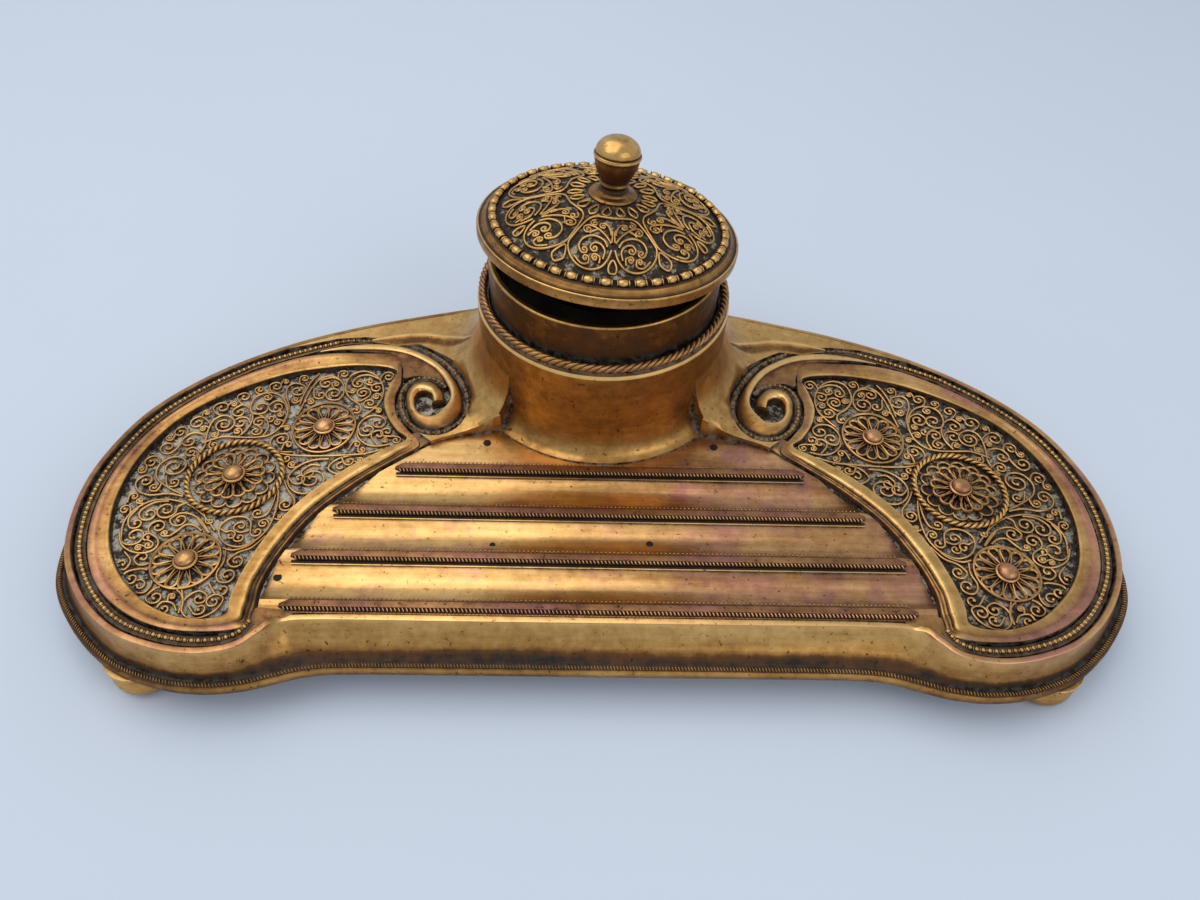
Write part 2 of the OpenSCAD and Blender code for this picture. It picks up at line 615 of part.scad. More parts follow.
// Filigree: each scroll is a wire with the points of its stem, its eye and its turns round
// the eye, from the outside in. A scroll of no turns is a plain stem. The drawing is the
// right wing's.
scrolls = [
    [[[93.5, -29.5], [97, -25.5], [100.5, -22.6], [104.5, -20.8], [108.5, -20.3], [112, -21.2],
        [114.8, -24], [115.8, -27.5], [115.2, -31]], [112, -31.4], -1.3],
    [[[102.5, -21.3], [104.2, -22.6]], [106.8, -23.7], 1.6],
    [[[107, -20.9], [110.2, -21.3], [112.6, -23.4]], [110.6, -24.9], -1.2],
    [[[113.8, -23.2], [115, -25.8], [114.6, -28]], [112.8, -27.7], -1.1],
    [[[115.6, -31], [114, -34.2], [110.8, -36.2], [107.6, -36.4], [105.6, -34.8], [106, -32.6],
        [107.6, -31.3]], [108.7, -32.1], -1],
    [[[107.8, -31.4], [109.2, -29.8], [109, -27.8]], [107.2, -28.8], 1.1],
    [[[104.6, -36.2], [105.6, -38.8], [107.8, -39.8], [109.6, -38.6]], [108, -37.7], 0.9],
    [[[94.5, -30.5], [97.5, -26.8], [100.4, -24.9], [103.2, -24.7], [104.9, -26.4]],
        [102.7, -26.6], -1.2],
    [[[96.5, -29.8], [98.6, -28.2], [100.8, -28], [102.2, -29.6], [103.6, -31.4]], [0, 0], 0],
    [[[101, -21.8], [98, -23.8], [96.6, -26.3]], [95.5, -26.6], -0.9],
    [[[82.5, -13.5], [81, -18], [80.4, -23], [80.8, -28], [82.6, -31.8], [86, -34.2],
        [89.6, -33.6], [92, -31], [92.4, -28], [90.6, -25.8], [87.6, -25.4], [85.6, -26.8],
        [85, -29.4]], [83.4, -29.8], -1.1],
    [[[85.2, -29.2], [87.2, -30], [89, -29.2]], [87.7, -28.2], 1],
    [[[88.6, -30.2], [88.4, -32]], [87.2, -31.4], -1],
    [[[92.1, -29.2], [90.6, -30]], [89.4, -31.1], 0.9],
    [[[81.4, -29.5], [84, -33.5], [88, -35.2], [92, -33.4], [95.5, -29.5], [98.5, -26.2]],
        [0, 0], 0],
    [[[81.7, -17], [81.7, -21.5], [82.6, -24.6], [84.8, -25.4]], [84.6, -24], 1],
    [[[81, -31], [83.4, -34.4], [86.4, -36], [88, -38.2]], [86, -38.3], -1.3],
    [[[89.3, -35.5], [88.9, -38.5], [89.7, -41.4], [89, -43.6]], [87.2, -42.2], -1.2],
    [[[90.6, -44.6], [88.9, -46.9]], [87.3, -46], -0.9],
    [[[96.2, -46.5], [95, -49.5], [94.6, -52], [92.6, -53.8], [89.8, -53.6], [87.2, -51.6],
        [86.2, -49]], [88.3, -49.4], -1.3],
    [[[95.2, -52.5], [94.8, -48.6], [92.4, -46.6], [90.2, -47.8]], [91.7, -48.6], 1],
    [[[93.6, -50.4], [92, -52.4]], [90.9, -51.2], -1],
    [[[94.8, -50.5], [96, -47.6], [98.8, -45.8], [102, -46], [103.6, -48.2]], [101.6, -48.5], -1.2],
    [[[95.8, -52], [97.2, -50], [99.6, -49.6], [100.4, -51.2]], [98.8, -51.4], -1],
    [[[105, -42], [103.6, -44.6], [104.6, -47.2], [107.6, -47]], [106.3, -45.3], 1.1],
    [[[104.6, -41.6], [107, -40.9], [110.4, -42], [110, -44.6]], [108.6, -43.6], -1],
    [[[112.6, -36.2], [110.4, -38.6], [110.8, -40.9]], [112, -39.6], 1],
    [[[117, -21.6], [117.2, -19.4]], [116, -19.6], 1.1],
    [[[104, -19.4], [108, -18.6], [112, -19.2], [115.4, -18], [116.9, -15.4], [115.8, -13.2]],
        [114.7, -14.8], 1.1],
    [[[99.6, -21.2], [104, -19], [108.5, -16.6], [112.2, -13.8], [113.2, -10.2],
        [111.6, -7.2]], [109.2, -9.8], 1.6],
    [[[110.2, -13], [109.4, -15.4]], [107.8, -14.8], -1.3],
    [[[64.8, 8.6], [62.6, 11.4], [60.8, 14.6], [60.6, 18.6], [61.8, 22.4], [64, 25.2],
        [67, 26.6], [70, 25.4], [71.3, 22], [70.8, 18.2], [68.8, 15.4], [66.4, 13.6],
        [65.6, 11.6]], [66.9, 11.3], 1],
    [[[62.8, 23.8], [65.6, 25.2], [68.4, 24.6], [69.6, 22.4]], [68, 21.8], -1.2],
    [[[71.2, 20.4], [70, 17], [67.2, 14.9], [64.8, 16.4]], [66.2, 18.2], -1.6],
    [[[61.4, 22], [63.6, 21.4]], [62.6, 20], -1],
    [[[82.2, 9], [81.4, 14], [80.6, 19], [79.2, 22.6], [76.8, 24.4], [74, 23.6], [72, 20.8],
        [71.4, 17.6], [72.4, 15.4]], [74, 17.6], 1.4],
    [[[73.2, 22.8], [75.4, 24], [78.2, 23]], [76.9, 21.6], -1.1],
    [[[79.8, 19.4], [79.2, 16.4]], [77.6, 16.8], -1.1],
    [[[79.6, 25.4], [81, 22.4], [82, 18], [82.4, 13]], [0, 0], 0],
    [[[84.8, 8], [85.2, 12.4], [86.8, 16.4], [87.2, 19.6], [85.8, 21.4], [83.6, 21]],
        [84.2, 18.6], 1.2],
    [[[104.4, -1.6], [100, 0.6], [95.6, 0.6], [91.6, 0.6], [88, 1.6], [85.6, 4.6], [84.9, 8.6],
        [85.6, 12.4], [88, 16], [91.4, 17.3], [94.4, 16], [95.4, 12.8], [94.6, 9.8]],
        [92.5, 11.6], -1.2],
    [[[85.4, 10.6], [86.4, 13.2], [88.8, 14.4], [90.4, 12.8]], [88.3, 12], -1.2],
    [[[94.4, 9.6], [91.4, 8.6], [90.2, 7]], [89.1, 7.8], -1],
    [[[89.4, 1.2], [88.8, 4.2], [89.8, 7]], [91.6, 6.2], -1.3],
    [[[95.4, 1.4], [93.9, 4.6], [93.8, 8], [95.2, 11], [97.6, 12.6], [99.4, 11]],
        [97.8, 9.8], -1.1],
    [[[94, 6], [95, 7.6]], [96.6, 6], -1.2],
    [[[103.6, -2], [104.2, 3], [103.6, 6.8], [101.4, 8.4], [98.8, 7.2]], [100.6, 5], 1.7],
    [[[104, -5], [103.6, -1], [105.4, 1.6], [108.2, 1.8], [109.6, 0]], [107.9, -1], -1.2],
    [[[56.2, -0.6], [59.4, -1.4], [62.8, -0.4], [65, 2.4], [65.2, 6.2], [63.4, 9.2],
        [60.4, 9.6], [58.4, 8]], [60.3, 7], 1.1],
    [[[65.2, 4.8], [64.2, 2.4]], [62.8, 4.2], -1.2],
    [[[59, -1.2], [60.8, 1]], [59.4, 2.6], 1],
    [[[55.8, 2.2], [58.4, 2.4]], [57.4, 3.8], 1],
    [[[57.6, -2.6], [61.6, -4.2], [66, -4.8], [71, -5.2], [76, -5.4], [81, -5.2],
        [84.6, -4.6]], [0, 0], 0],
    [[[66.5, -3], [65.9, -1]], [64.6, -1], 1.1],
    [[[61.6, -4.4], [65.4, -4.8], [69, -6.4], [70.4, -9.2], [68.6, -10.8]], [67.2, -8.6], -1.2],
    [[[67.6, -5.6], [66.8, -7.4]], [65.4, -6.9], -1.1],
    [[[70.8, -6.2], [74.4, -6.6], [77.6, -8.4], [79.6, -11.6], [79.2, -15], [76.8, -17.4],
        [73.6, -17.6], [71.4, -15.6]], [73.9, -13.2], -1.5],
    [[[72.6, -8.4], [75, -8.2], [76.8, -10.2]], [75, -10.8], -1.1],
    [[[79.4, -13], [78, -14.6]], [76.9, -13], -1],
    [[[80.6, -13.6], [79, -16.6], [76.8, -19.4], [76.4, -21.6]], [78.4, -21.4], 1.5],
    [[[80.6, -4], [84.4, -3.8], [87, -1.4], [86.6, 1.4], [84.2, 2.4]], [84.4, 0.4], 1.3],
    [[[83.6, -3.9], [83.4, -2]], [82.2, -1.7], 1.1],
    [[[84, -5.4], [82.8, -7]], [81.7, -6.3], -1],
];
// Share of a scroll's radius that is left at its eye, and samples in each turn
eye_share = 0.2;
turn_steps = 10;
function scroll_path(s) = let (stem = s[0], n = len(stem), v = stem[n - 1] - s[1],
    a = atan2(v.y, v.x), steps = ceil(abs(s[2]) * turn_steps),
    spiral = [for (k = [1:1:steps]) let (t = k / steps)
        s[1] + norm(v) * (1 - (1 - eye_share) * t)
        * [cos(a + 360 * s[2] * t), sin(a + 360 * s[2] * t)]],
    run = concat(stem, spiral))
    concat([for (i = [0:n - 2]) each [run[i], spline(run[max(i - 1, 0)], run[i], run[i + 1],
        run[min(i + 2, len(run) - 1)], 0.5)]], [stem[n - 1]], spiral);
module wire_path(points) {
    n = len(points);
    normals = [for (i = [0:n - 1])
        let (v = unit(points[min(i + 1, n - 1)] - points[max(i - 1, 0)])) [-v.y, v.x]];
    polygon(concat([for (i = [0:n - 1]) points[i] + normals[i] * wire_w / 2],
        [for (i = [n - 1:-1:0]) points[i] - normals[i] * wire_w / 2]));
}
// The wires stop at the gold frame, at the rosettes and at the twisted ring
module filigree(side) {
    wire_gap = 0.1;
    trim = 0.1;
    color("#c8a860") translate([0, 0, panel_z]) linear_extrude(wire_t)
        offset(delta = trim) offset(delta = -trim) difference() {
            intersection() {
                for (s = scrolls)
                    wire_path([for (p = scroll_path(s)) flip(at(p + filigree_place), side)]);
                offset(delta = -wire_gap) polygon([for (p = frame_inner) flip(p, side)]);
            }
            rosette_plan(rosette_front, rosette_front_r + wire_gap, 1, side);
            rosette_plan(rosette_back, rosette_back_r + wire_gap, back_oval, side);
            rosette_plan(rosette_middle, twist_ring_r + twist_wire_r + wire_gap, 1, side);
        }
}

// Ink well
module well_drum() {
    floor_t = 2;
    color("#7a5a2c") translate([0, well_y, 0]) rotate_extrude($fn = 128)
        polygon([[0, well_floor_z - floor_t], [drum_foot_r - 5, well_floor_z - floor_t],
            [drum_foot_r - 5, deck_z], [drum_foot_r, deck_z], [drum_foot_r, rim_z],
            [drum_r, rim_z], [drum_r, mouth_z - 1.4], [drum_r - 0.5, mouth_z - 0.5],
            [drum_r - 1, mouth_z], [bore_r, mouth_z], [bore_r, well_floor_z],
            [0, well_floor_z]]);
}
// Flare in front, which stands on the tray between the two wings
module well_flare() {
    steps = 6;
    color("#86642f") translate([0, well_y, 0]) rotate([0, 0, -90 - flare_sweep / 2])
        rotate_extrude(angle = flare_sweep, $fn = 128)
        polygon(concat([[drum_r, rim_z], [drum_foot_r, rim_z], [drum_foot_r, tray_z],
            [flare_r, tray_z]],
            [for (k = [0:steps]) let (a = 90 * k / steps)
                [drum_r + (flare_r - drum_r) * (1 - sin(a)) * 0.98,
                tray_z + 0.5 + (flare_h - 0.5) * (1 - cos(a))]]));
}
module well_twist_ring() {
    color("#96743c") translate([0, well_y, mouth_z]) rotate_extrude($fn = 128)
        translate([drum_r - 1.1 - mouth_wire_r * 0.3, mouth_wire_r])
        circle(mouth_wire_r, $fn = 24);
}

// Insert: a metal sleeve with the glass ink pot in it
sleeve_r = bore_r - socket_gap;
pot_r = sleeve_r - sleeve_t - 0.1;
sleeve_floor_t = 1.2;
module sleeve() {
    color("#80602f") translate([0, well_y, 0]) rotate_extrude($fn = 128)
        polygon([[0, well_floor_z], [sleeve_r, well_floor_z], [sleeve_r, sleeve_z - 0.4],
            [sleeve_r - 0.4, sleeve_z], [sleeve_r - sleeve_t, sleeve_z],
            [sleeve_r - sleeve_t, well_floor_z + sleeve_floor_t],
            [0, well_floor_z + sleeve_floor_t]]);
}
module ink_pot() {
    bottom = well_floor_z + sleeve_floor_t;
    top = sleeve_z - 2.4;
    color([0.1, 0.12, 0.14, 0.8]) translate([0, well_y, 0]) rotate_extrude($fn = 96)
        polygon([[0, bottom], [pot_r, bottom], [pot_r, top - 1], [pot_r - 1, top],
            [pot_mouth_r, top], [pot_mouth_r, top - 2], [pot_r - pot_t, top - 5],
            [pot_r - pot_t, bottom + 4], [pot_r - pot_t - 2, bottom + 2.4],
            [0, bottom + 2.4]]);
}

// Hinge: the outer knuckles belong to the sleeve and the middle one to the lid
hinge_y = well_y + lid_r + 0.6;
hinge_z = lid_z - hinge_r - 0.3;
knuckle_gap = 0.25;
outer_start = knuckle_w / 2 + knuckle_gap;
// Turns a piece of the hinge or the lid round the well with the insert
module insert_place() {
    translate([0, well_y, 0]) rotate([0, 0, -insert_turn]) translate([0, -well_y, 0])
        children();
}
module sleeve_hinge() {
    bracket_h = 5;
    color("#7a5c2e") insert_place() difference() {
        union() {
            for (s = [-1, 1]) {
                translate([s * (outer_start + outer_knuckle_w / 2), hinge_y, hinge_z])
                    rotate([0, 90, 0])
                    cylinder(r = hinge_r, h = outer_knuckle_w, center = true, $fn = 32);
                translate([s * (outer_start + outer_knuckle_w / 2) - outer_knuckle_w / 2,
                    well_y + sleeve_r - 2.2, hinge_z - bracket_h])
                    cube([outer_knuckle_w, hinge_y - well_y - sleeve_r + 2.2, bracket_h]);
            }
            translate([-outer_start - outer_knuckle_w, well_y + sleeve_r - 2.2,
                hinge_z - bracket_h])
                cube([2 * (outer_start + outer_knuckle_w), hinge_y - well_y - sleeve_r
                    + 2.2, bracket_h - hinge_r - 0.6]);
        }
        translate([0, well_y, hinge_z - bracket_h - 1]) cylinder(r = sleeve_r, h = 20,
            $fn = 128);
        translate([0, hinge_y, hinge_z]) rotate([0, 90, 0])
            cylinder(d = hinge_pin_d, h = 40, center = true, $fn = 32);
    }
}
module hinge_pin() {
    half = outer_start + outer_knuckle_w;
    color("#4d3b22") insert_place() translate([0, hinge_y, hinge_z]) rotate([0, 90, 0])
        cylinder(d = hinge_pin_d, h = 2 * half, center = true, $fn = 32);
}
// Places a piece of the lid, drawn closed over the origin, at its standing angle
module lid_place() {
    insert_place() translate([0, hinge_y, hinge_z]) rotate([-lid_ajar, 0, 0])
        translate([0, well_y - hinge_y, lid_z - hinge_z]) children();
}
module lid_hinge() {
    leaf_t = 1.2;
    leaf_h = lid_band_h - 0.4;
    back = hinge_y - well_y;
    drop = hinge_z - lid_z;
    color("#7a5c2e") lid_place() difference() {
        union() {
            translate([0, back, drop]) rotate([0, 90, 0])
                cylinder(r = hinge_r, h = knuckle_w, center = true, $fn = 32);
            translate([-knuckle_w / 2, back - leaf_t / 2, drop])
                cube([knuckle_w, leaf_t, leaf_h - drop]);
        }
        translate([0, 0, -0.01]) cylinder(r = lid_r, h = lid_band_h + 2, $fn = 128);
        translate([0, back, drop]) rotate([0, 90, 0])
            cylinder(d = hinge_pin_d + 0.1, h = 40, center = true, $fn = 32);
    }
}

// Lid
liner_r = sleeve_r - sleeve_t - 0.7;
lid_inner_r = dome_r - 0.8;
module lid_rim() {
    color("#8a6a33") lid_place() rotate_extrude($fn = 128)
        polygon([[liner_r - 1.4, 0], [lid_r - 0.6, 0], [lid_r, 0.6],
            [lid_r, lid_band_h - 0.6], [lid_r - 0.5, lid_band_h],
            [lid_bead_ring_r + 1.6, bead_seat_h - 0.1],
            [lid_bead_ring_r + 1.3, bead_seat_h], [dome_r, bead_seat_h],
            [dome_r, bead_seat_h - dome_t], [liner_r - 1.4, bead_seat_h - dome_t]]);
}
module lid_liner() {
    color("#6e542a") lid_place() translate([0, 0, -1.5]) difference() {
        cylinder(r = liner_r, h = 1.5, $fn = 128);
        translate([0, 0, -1]) cylinder(r = liner_r - 1.2, h = 4, $fn = 128);
    }
}
// The dome is flat under the foot of the knob and has six lobes, one to the front
dome_flat_r = knob_foot_r + 0.4;
lobe_count = 6;
lobe_first = insert_turn - 90;
function dome_height(r) = bead_seat_h
    + dome_rise * (1 - pow(max(r, dome_flat_r) / dome_r, dome_fullness));
function lobed_height(r, a) = dome_height(r)
    - lobe_depth * (1 - abs(cos(lobe_count / 2 * (a - lobe_first))))
    * sin(180 * min(1, max(0, (r - dome_flat_r) / (dome_r - dome_flat_r))));
module lid_dome() {
    lobe_steps = 8;
    n = lobe_count * lobe_steps;
    ledge = 0.8;
    outer = [for (t = [1, 0.93, 0.83, 0.7, 0.55, 0.4]) dome_r * t];
    inner = [for (t = [0.42, 0.57, 0.7, 0.83]) dome_r * t];
    color("#7a6236") lid_place() ring_solid([for (i = [0:n - 1])
        let (a = lobe_first + 360 * i / n, c = [cos(a), sin(a)],
            section = concat([[dome_r, bead_seat_h - dome_t]],
                [for (r = outer) [r, lobed_height(r, a)]],
                [[dome_flat_r, dome_height(0)], [stud_d / 2, dome_height(0)],
                [stud_d / 2, dome_height(0) - dome_t], [dome_flat_r, dome_height(0) - dome_t]],
                [for (r = inner) [r, lobed_height(r, a) - dome_t]],
                [[dome_r - ledge, bead_seat_h - dome_t]]))
        [for (p = section) [p[0] * c.x, p[0] * c.y, p[1]]]]);
}
// Raised wires on the dome, with points across and outward from the lid's middle. Each
// medallion has an outline of two loops under an arch, and scrolls on both sides of it.
dome_wire_w = 0.62;
dome_wire_h = 0.6;
dome_wire_lift = 0.13;
medallion_outline = [[0.45, 21.4], [1.2, 23.5], [2.8, 25.4], [5.4, 26.2], [8.1, 25.7],
    [10.1, 23.9], [10.7, 21.2], [9.2, 18.4], [7.6, 15.4], [5.9, 12.8], [4.3, 11.6]];
medallion_top = [0, 11.2];
medallion_scrolls = [
    [[[1.5, 20.6], [2.4, 18.7], [4.6, 17.9], [6.7, 18.8], [7.9, 20.9], [7.5, 22.3]],
        [6.8, 21.8], 0.45],
    [[[2.1, 23.3], [1.8, 21.6], [2.9, 20.1], [4.3, 19.9], [5, 20.8]], [4.2, 21.3], 0.4],
    [[[3.1, 24.5], [3.2, 23], [4.3, 22.8]], [4, 23.6], 0.35],
    [[[7.8, 24.7], [6.6, 25], [5.7, 24.4], [5.9, 23.6]], [6.5, 24], 0.2],
    [[[0.5, 19.4], [2, 17.2], [3.9, 15.4], [5.7, 14.8], [6.8, 15.7], [6.7, 16.6]],
        [5.9, 16.2], 0.4],
    [[[0.5, 17.4], [0.8, 15.4], [1.7, 14], [2.8, 13.9]], [2.4, 14.6], 0.3],
];
drop_wire = [[0, 24], [0.85, 25.2], [0.6, 26.3], [-0.6, 26.3], [-0.85, 25.2]];
between_wire = [[0, 21.9], [1.1, 23.6], [1.4, 25.3], [0, 26.3], [-1.4, 25.3], [-1.1, 23.6]];
// Triangular wires as the points and the faces of one solid each, side by side
function on_dome(p, middle) = let (a = middle + p.x / p.y * 180 / PI,
    r = min(p.y, dome_r - 0.7)) [r * cos(a), r * sin(a), lobed_height(r, a) + dome_wire_lift];
function dome_normal(p) = let (r = norm([p.x, p.y]), slope = max(0, r > dome_flat_r
    ? dome_rise * dome_fullness / dome_r * pow(r / dome_r, dome_fullness - 1) : 0))
    unit([slope * p.x / r, slope * p.y / r, 1]);
function wire_points(run, closed) = let (n = len(run)) [for (i = [0:n - 1])
    let (back = closed ? run[(i + n - 1) % n] : run[max(i - 1, 0)],
        ahead = closed ? run[(i + 1) % n] : run[min(i + 1, n - 1)],
        up = dome_normal(run[i]), across = unit(cross(up, ahead - back)))
    each [run[i] - across * dome_wire_w / 2, run[i] + up * dome_wire_h,
        run[i] + across * dome_wire_w / 2]];
function wire_faces(n, first, closed) = concat(
    [for (i = [0:closed ? n - 1 : n - 2], j = [0:2])
        let (a = first + i * 3 + j, b = first + i * 3 + (j + 1) % 3,
            c = first + ((i + 1) % n) * 3 + (j + 1) % 3, d = first + ((i + 1) % n) * 3 + j)
        each [[a, b, c], [a, c, d]]],
    closed ? [] : [[first + 2, first + 1, first],
        [first + 3 * n - 3, first + 3 * n - 2, first + 3 * n - 1]]);
function before(list, k) = k < 1 ? 0 : list[k - 1] + before(list, k - 1);
module lid_filigree() {
    n = len(medallion_outline);
    outline = concat([for (p = medallion_outline) [-p.x, p.y]], [medallion_top],
        [for (i = [n - 1:-1:0]) medallion_outline[i]]);
    mirrored = [for (s = medallion_scrolls, side = [-1, 1])
        [for (p = coarse_path(s)) [side * p.x, p.y]]];
    open_runs = [for (k = [0:lobe_count - 1]) let (middle = lobe_first + 360 * k / lobe_count)
        each [for (run = concat([outline], mirrored)) [for (p = run) on_dome(p, middle)]]];
    closed_runs = [for (k = [0:lobe_count - 1]) let (middle = lobe_first + 360 * k / lobe_count)
        each [[for (p = drop_wire) on_dome(p, middle)],
            [for (p = between_wire) on_dome(p, middle + 180 / lobe_count)]]];
    runs = concat(open_runs, closed_runs);
    counts = [for (run = runs) 3 * len(run)];
    color("#a98d52") lid_place() polyhedron(
        points = [for (k = [0:len(runs) - 1]) each wire_points(runs[k], k >= len(open_runs))],
        faces = [for (k = [0:len(runs) - 1])
            each wire_faces(len(runs[k]), before(counts, k), k >= len(open_runs))]);
}
// The points of a scroll without any between its stem's own, and five to each turn
function coarse_path(s) = let (stem = s[0], v = stem[len(stem) - 1] - s[1],
    a = atan2(v.y, v.x), steps = ceil(abs(s[2]) * 5))
    concat(stem, [for (k = [1:1:steps]) let (t = k / steps)
        s[1] + norm(v) * (1 - 0.35 * t) * [cos(a + 360 * s[2] * t), sin(a + 360 * s[2] * t)]]);
module lid_beading() {
    color("#8f723b") lid_place() translate([0, 0, bead_seat_h]) rotate_extrude($fn = 128)
        translate([lid_bead_ring_r, 0]) intersection() {
            circle(1.1, $fn = 24);
            translate([-1.1, 0]) square([2.2, 1.2]);
        }
}
knob_seat = dome_height(0);
stud_reach = 4;
module knob() {
    // Heights over the seat, and the radii there: the foot, the waist, its collar, the
    // flaring underside and the ridge, and then the cap
    steps = 8;
    ridge_t = 1.1;
    cap_r = knob_r - 0.4;
    collar_r = knob_waist_r + 0.5;
    lower = [[knob_foot_r, 0], [knob_foot_r, 0.5], [knob_foot_r - 0.9, 0.9],
        [knob_waist_r + 1, 1.1], [knob_waist_r + 0.8, 1.5], [knob_waist_r + 0.2, 1.8],
        [knob_waist_r, 2.4], [knob_waist_r + 0.1, 2.9], [collar_r, 3.2], [collar_r, 3.7],
        [knob_waist_r + 0.3, 4]];
    flare_low = lower[len(lower) - 1];
    flare_high = [knob_r - 0.3, knob_ridge_h - ridge_t / 2];
    flare = [for (t = [0.2:0.2:1]) [blend(flare_low.x, flare_high.x, sin(90 * t)),
        blend(flare_low.y, flare_high.y, t)]];
    cap_z = knob_ridge_h + ridge_t / 2;
    color("#a98342") lid_place() translate([0, 0, knob_seat]) difference() {
        rotate_extrude($fn = 96)
            polygon(concat([[0, 0]], lower, flare,
                [[knob_r, knob_ridge_h - ridge_t / 4], [knob_r, knob_ridge_h + ridge_t / 4],
                [cap_r, cap_z]],
                [for (k = [1:steps]) let (a = 90 * k / steps)
                    [cap_r * cos(a), cap_z + (knob_cap_h - ridge_t / 2) * sin(a)]]));
        translate([0, 0, -1]) cylinder(d = stud_d, h = stud_reach + 1, $fn = 32);
    }
}
module knob_nut() {
    nut_t = 1.6;
    under = knob_seat - dome_t;
    color("#4d3b22") lid_place() {
        translate([0, 0, under - nut_t - 0.8])
            cylinder(d = stud_d, h = knob_seat + stud_reach - under + nut_t + 0.8, $fn = 32);
        translate([0, 0, under - nut_t]) cylinder(r = stud_d * 1.05, h = nut_t, $fn = 6);
    }
}

// Feet
foot_places = [at([-105, -56.4]), at([105, -56.4]), at([-64, 42]), at([64, 42])];
module foot(i) {
    steps = 10;
    r = foot_d / 2;
    flat_r = foot_flat_d / 2;
    color("#a07c3c") translate([foot_places[i].x, foot_places[i].y, 0]) difference() {
        rotate_extrude($fn = 64)
            polygon(concat([[0, 0], [flat_r, 0]],
                [for (k = [1:steps - 1]) let (a = -90 + 165 * k / steps)
                    [flat_r + (r - flat_r) * cos(a), foot_h * 0.44 * (1 + sin(a))]],
                [[flat_r + 1, foot_h - 0.8], [flat_r + 1, foot_h], [0, foot_h]]));
        translate([0, 0, foot_h - foot_screw_depth])
            cylinder(d = foot_screw_d, h = foot_screw_depth + 1, $fn = 32);
    }
}
module foot_screws() {
    color("#5a4a2c") for (p = foot_places) translate([p.x, p.y, foot_h - foot_screw_depth])
        cylinder(d = foot_screw_d, h = foot_screw_depth + base_t, $fn = 32);
}

base_plate();
base_milling();
wall_band();
deck_plate();
shoulder_saddle();
pen_tray();
pen_rail(1);  // pen_rail_1
pen_rail(2);  // pen_rail_2
pen_rail(3);  // pen_rail_3
pen_rail(4);  // pen_rail_4
tray_pins();
wing_frame(-1);  // wing_frame_left
wing_frame(1);  // wing_frame_right
wing_beading(-1);  // wing_beading_left
wing_beading(1);  // wing_beading_right
wing_panel(-1);  // wing_panel_left
wing_panel(1);  // wing_panel_right
volute(-1);  // volute_left
volute(1);  // volute_right
filigree(-1);  // filigree_left
filigree(1);  // filigree_right
front_rosette(-1);  // rosette_front_left
front_rosette(1);  // rosette_front_right
middle_rosette(-1);  // rosette_middle_left
middle_rosette(1);  // rosette_middle_right
back_rosette(-1);  // rosette_back_left
back_rosette(1);  // rosette_back_right
twist_ring(-1);  // twist_ring_left
twist_ring(1);  // twist_ring_right
well_drum();
well_flare();
well_twist_ring();
sleeve();
sleeve_hinge();
hinge_pin();
ink_pot();
lid_hinge();
lid_rim();
lid_liner();
lid_dome();
lid_filigree();
lid_beading();
knob();
knob_nut();
foot(0);  // foot_front_left
foot(1);  // foot_front_right
foot(2);  // foot_back_left
foot(3);  // foot_back_right
foot_screws();
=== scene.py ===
"""Desk inkstand in worn gilt brass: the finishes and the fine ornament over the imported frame.

Sizes are in millimetres in the part's own frame, and become metres as a mesh is made.
The right half is drawn, and side -1 gives the left one.
"""

from functools import reduce
from math import atan2, ceil, hypot, radians, tau

import bmesh
import bpy
import numpy as np
from mathutils import Matrix, Vector
from mathutils.bvhtree import BVHTree


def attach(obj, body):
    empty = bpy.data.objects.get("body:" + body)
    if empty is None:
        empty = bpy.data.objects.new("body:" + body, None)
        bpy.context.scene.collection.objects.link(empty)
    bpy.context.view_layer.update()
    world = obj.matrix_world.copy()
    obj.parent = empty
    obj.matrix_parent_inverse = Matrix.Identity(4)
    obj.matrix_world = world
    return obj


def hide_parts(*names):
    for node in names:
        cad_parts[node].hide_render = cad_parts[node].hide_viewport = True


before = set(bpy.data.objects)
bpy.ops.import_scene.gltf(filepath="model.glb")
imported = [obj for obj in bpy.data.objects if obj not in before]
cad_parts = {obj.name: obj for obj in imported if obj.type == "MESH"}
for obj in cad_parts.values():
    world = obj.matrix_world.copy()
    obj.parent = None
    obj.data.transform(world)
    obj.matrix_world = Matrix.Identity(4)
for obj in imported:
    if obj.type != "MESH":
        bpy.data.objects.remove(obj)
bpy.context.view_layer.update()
scene = bpy.context.scene

MM = 0.001
SIDES = {"left": -1, "right": 1}

# Levels over the desk
FOOT_H = 8.5
BASE_Z = 11.5
DECK_Z = 16.0
PANEL_Z = 17.5
TRAY_Z = 18.5
RIM_Z = 20.0
MOUTH_Z = 46.2
SLEEVE_Z = 58.2
LID_Z = 58.5
WELL_FLOOR_Z = 20.5

# Stand, wall and tray
RIM_W = 1.4
FLANGE_W = 2.3
STRIP_W = 3.5
STRIP_GAP = 0.4
BEAD_HALF_W = 0.9
RAIL_YS = (-8.4, -22.1, -35.8, -49.5)
RAIL_END_GAP = 2.0
FRONT_RAIL_CUT = 2.4
MILLING_INSET = 1.25
CUT_PITCH = 0.9
DOT_PITCH = 1.05
BEAD_PITCH = 0.72
FOOT_PLACES = [(-105, -56.4), (105, -56.4), (-64, 42), (64, 42)]
PAD_R = 7.7

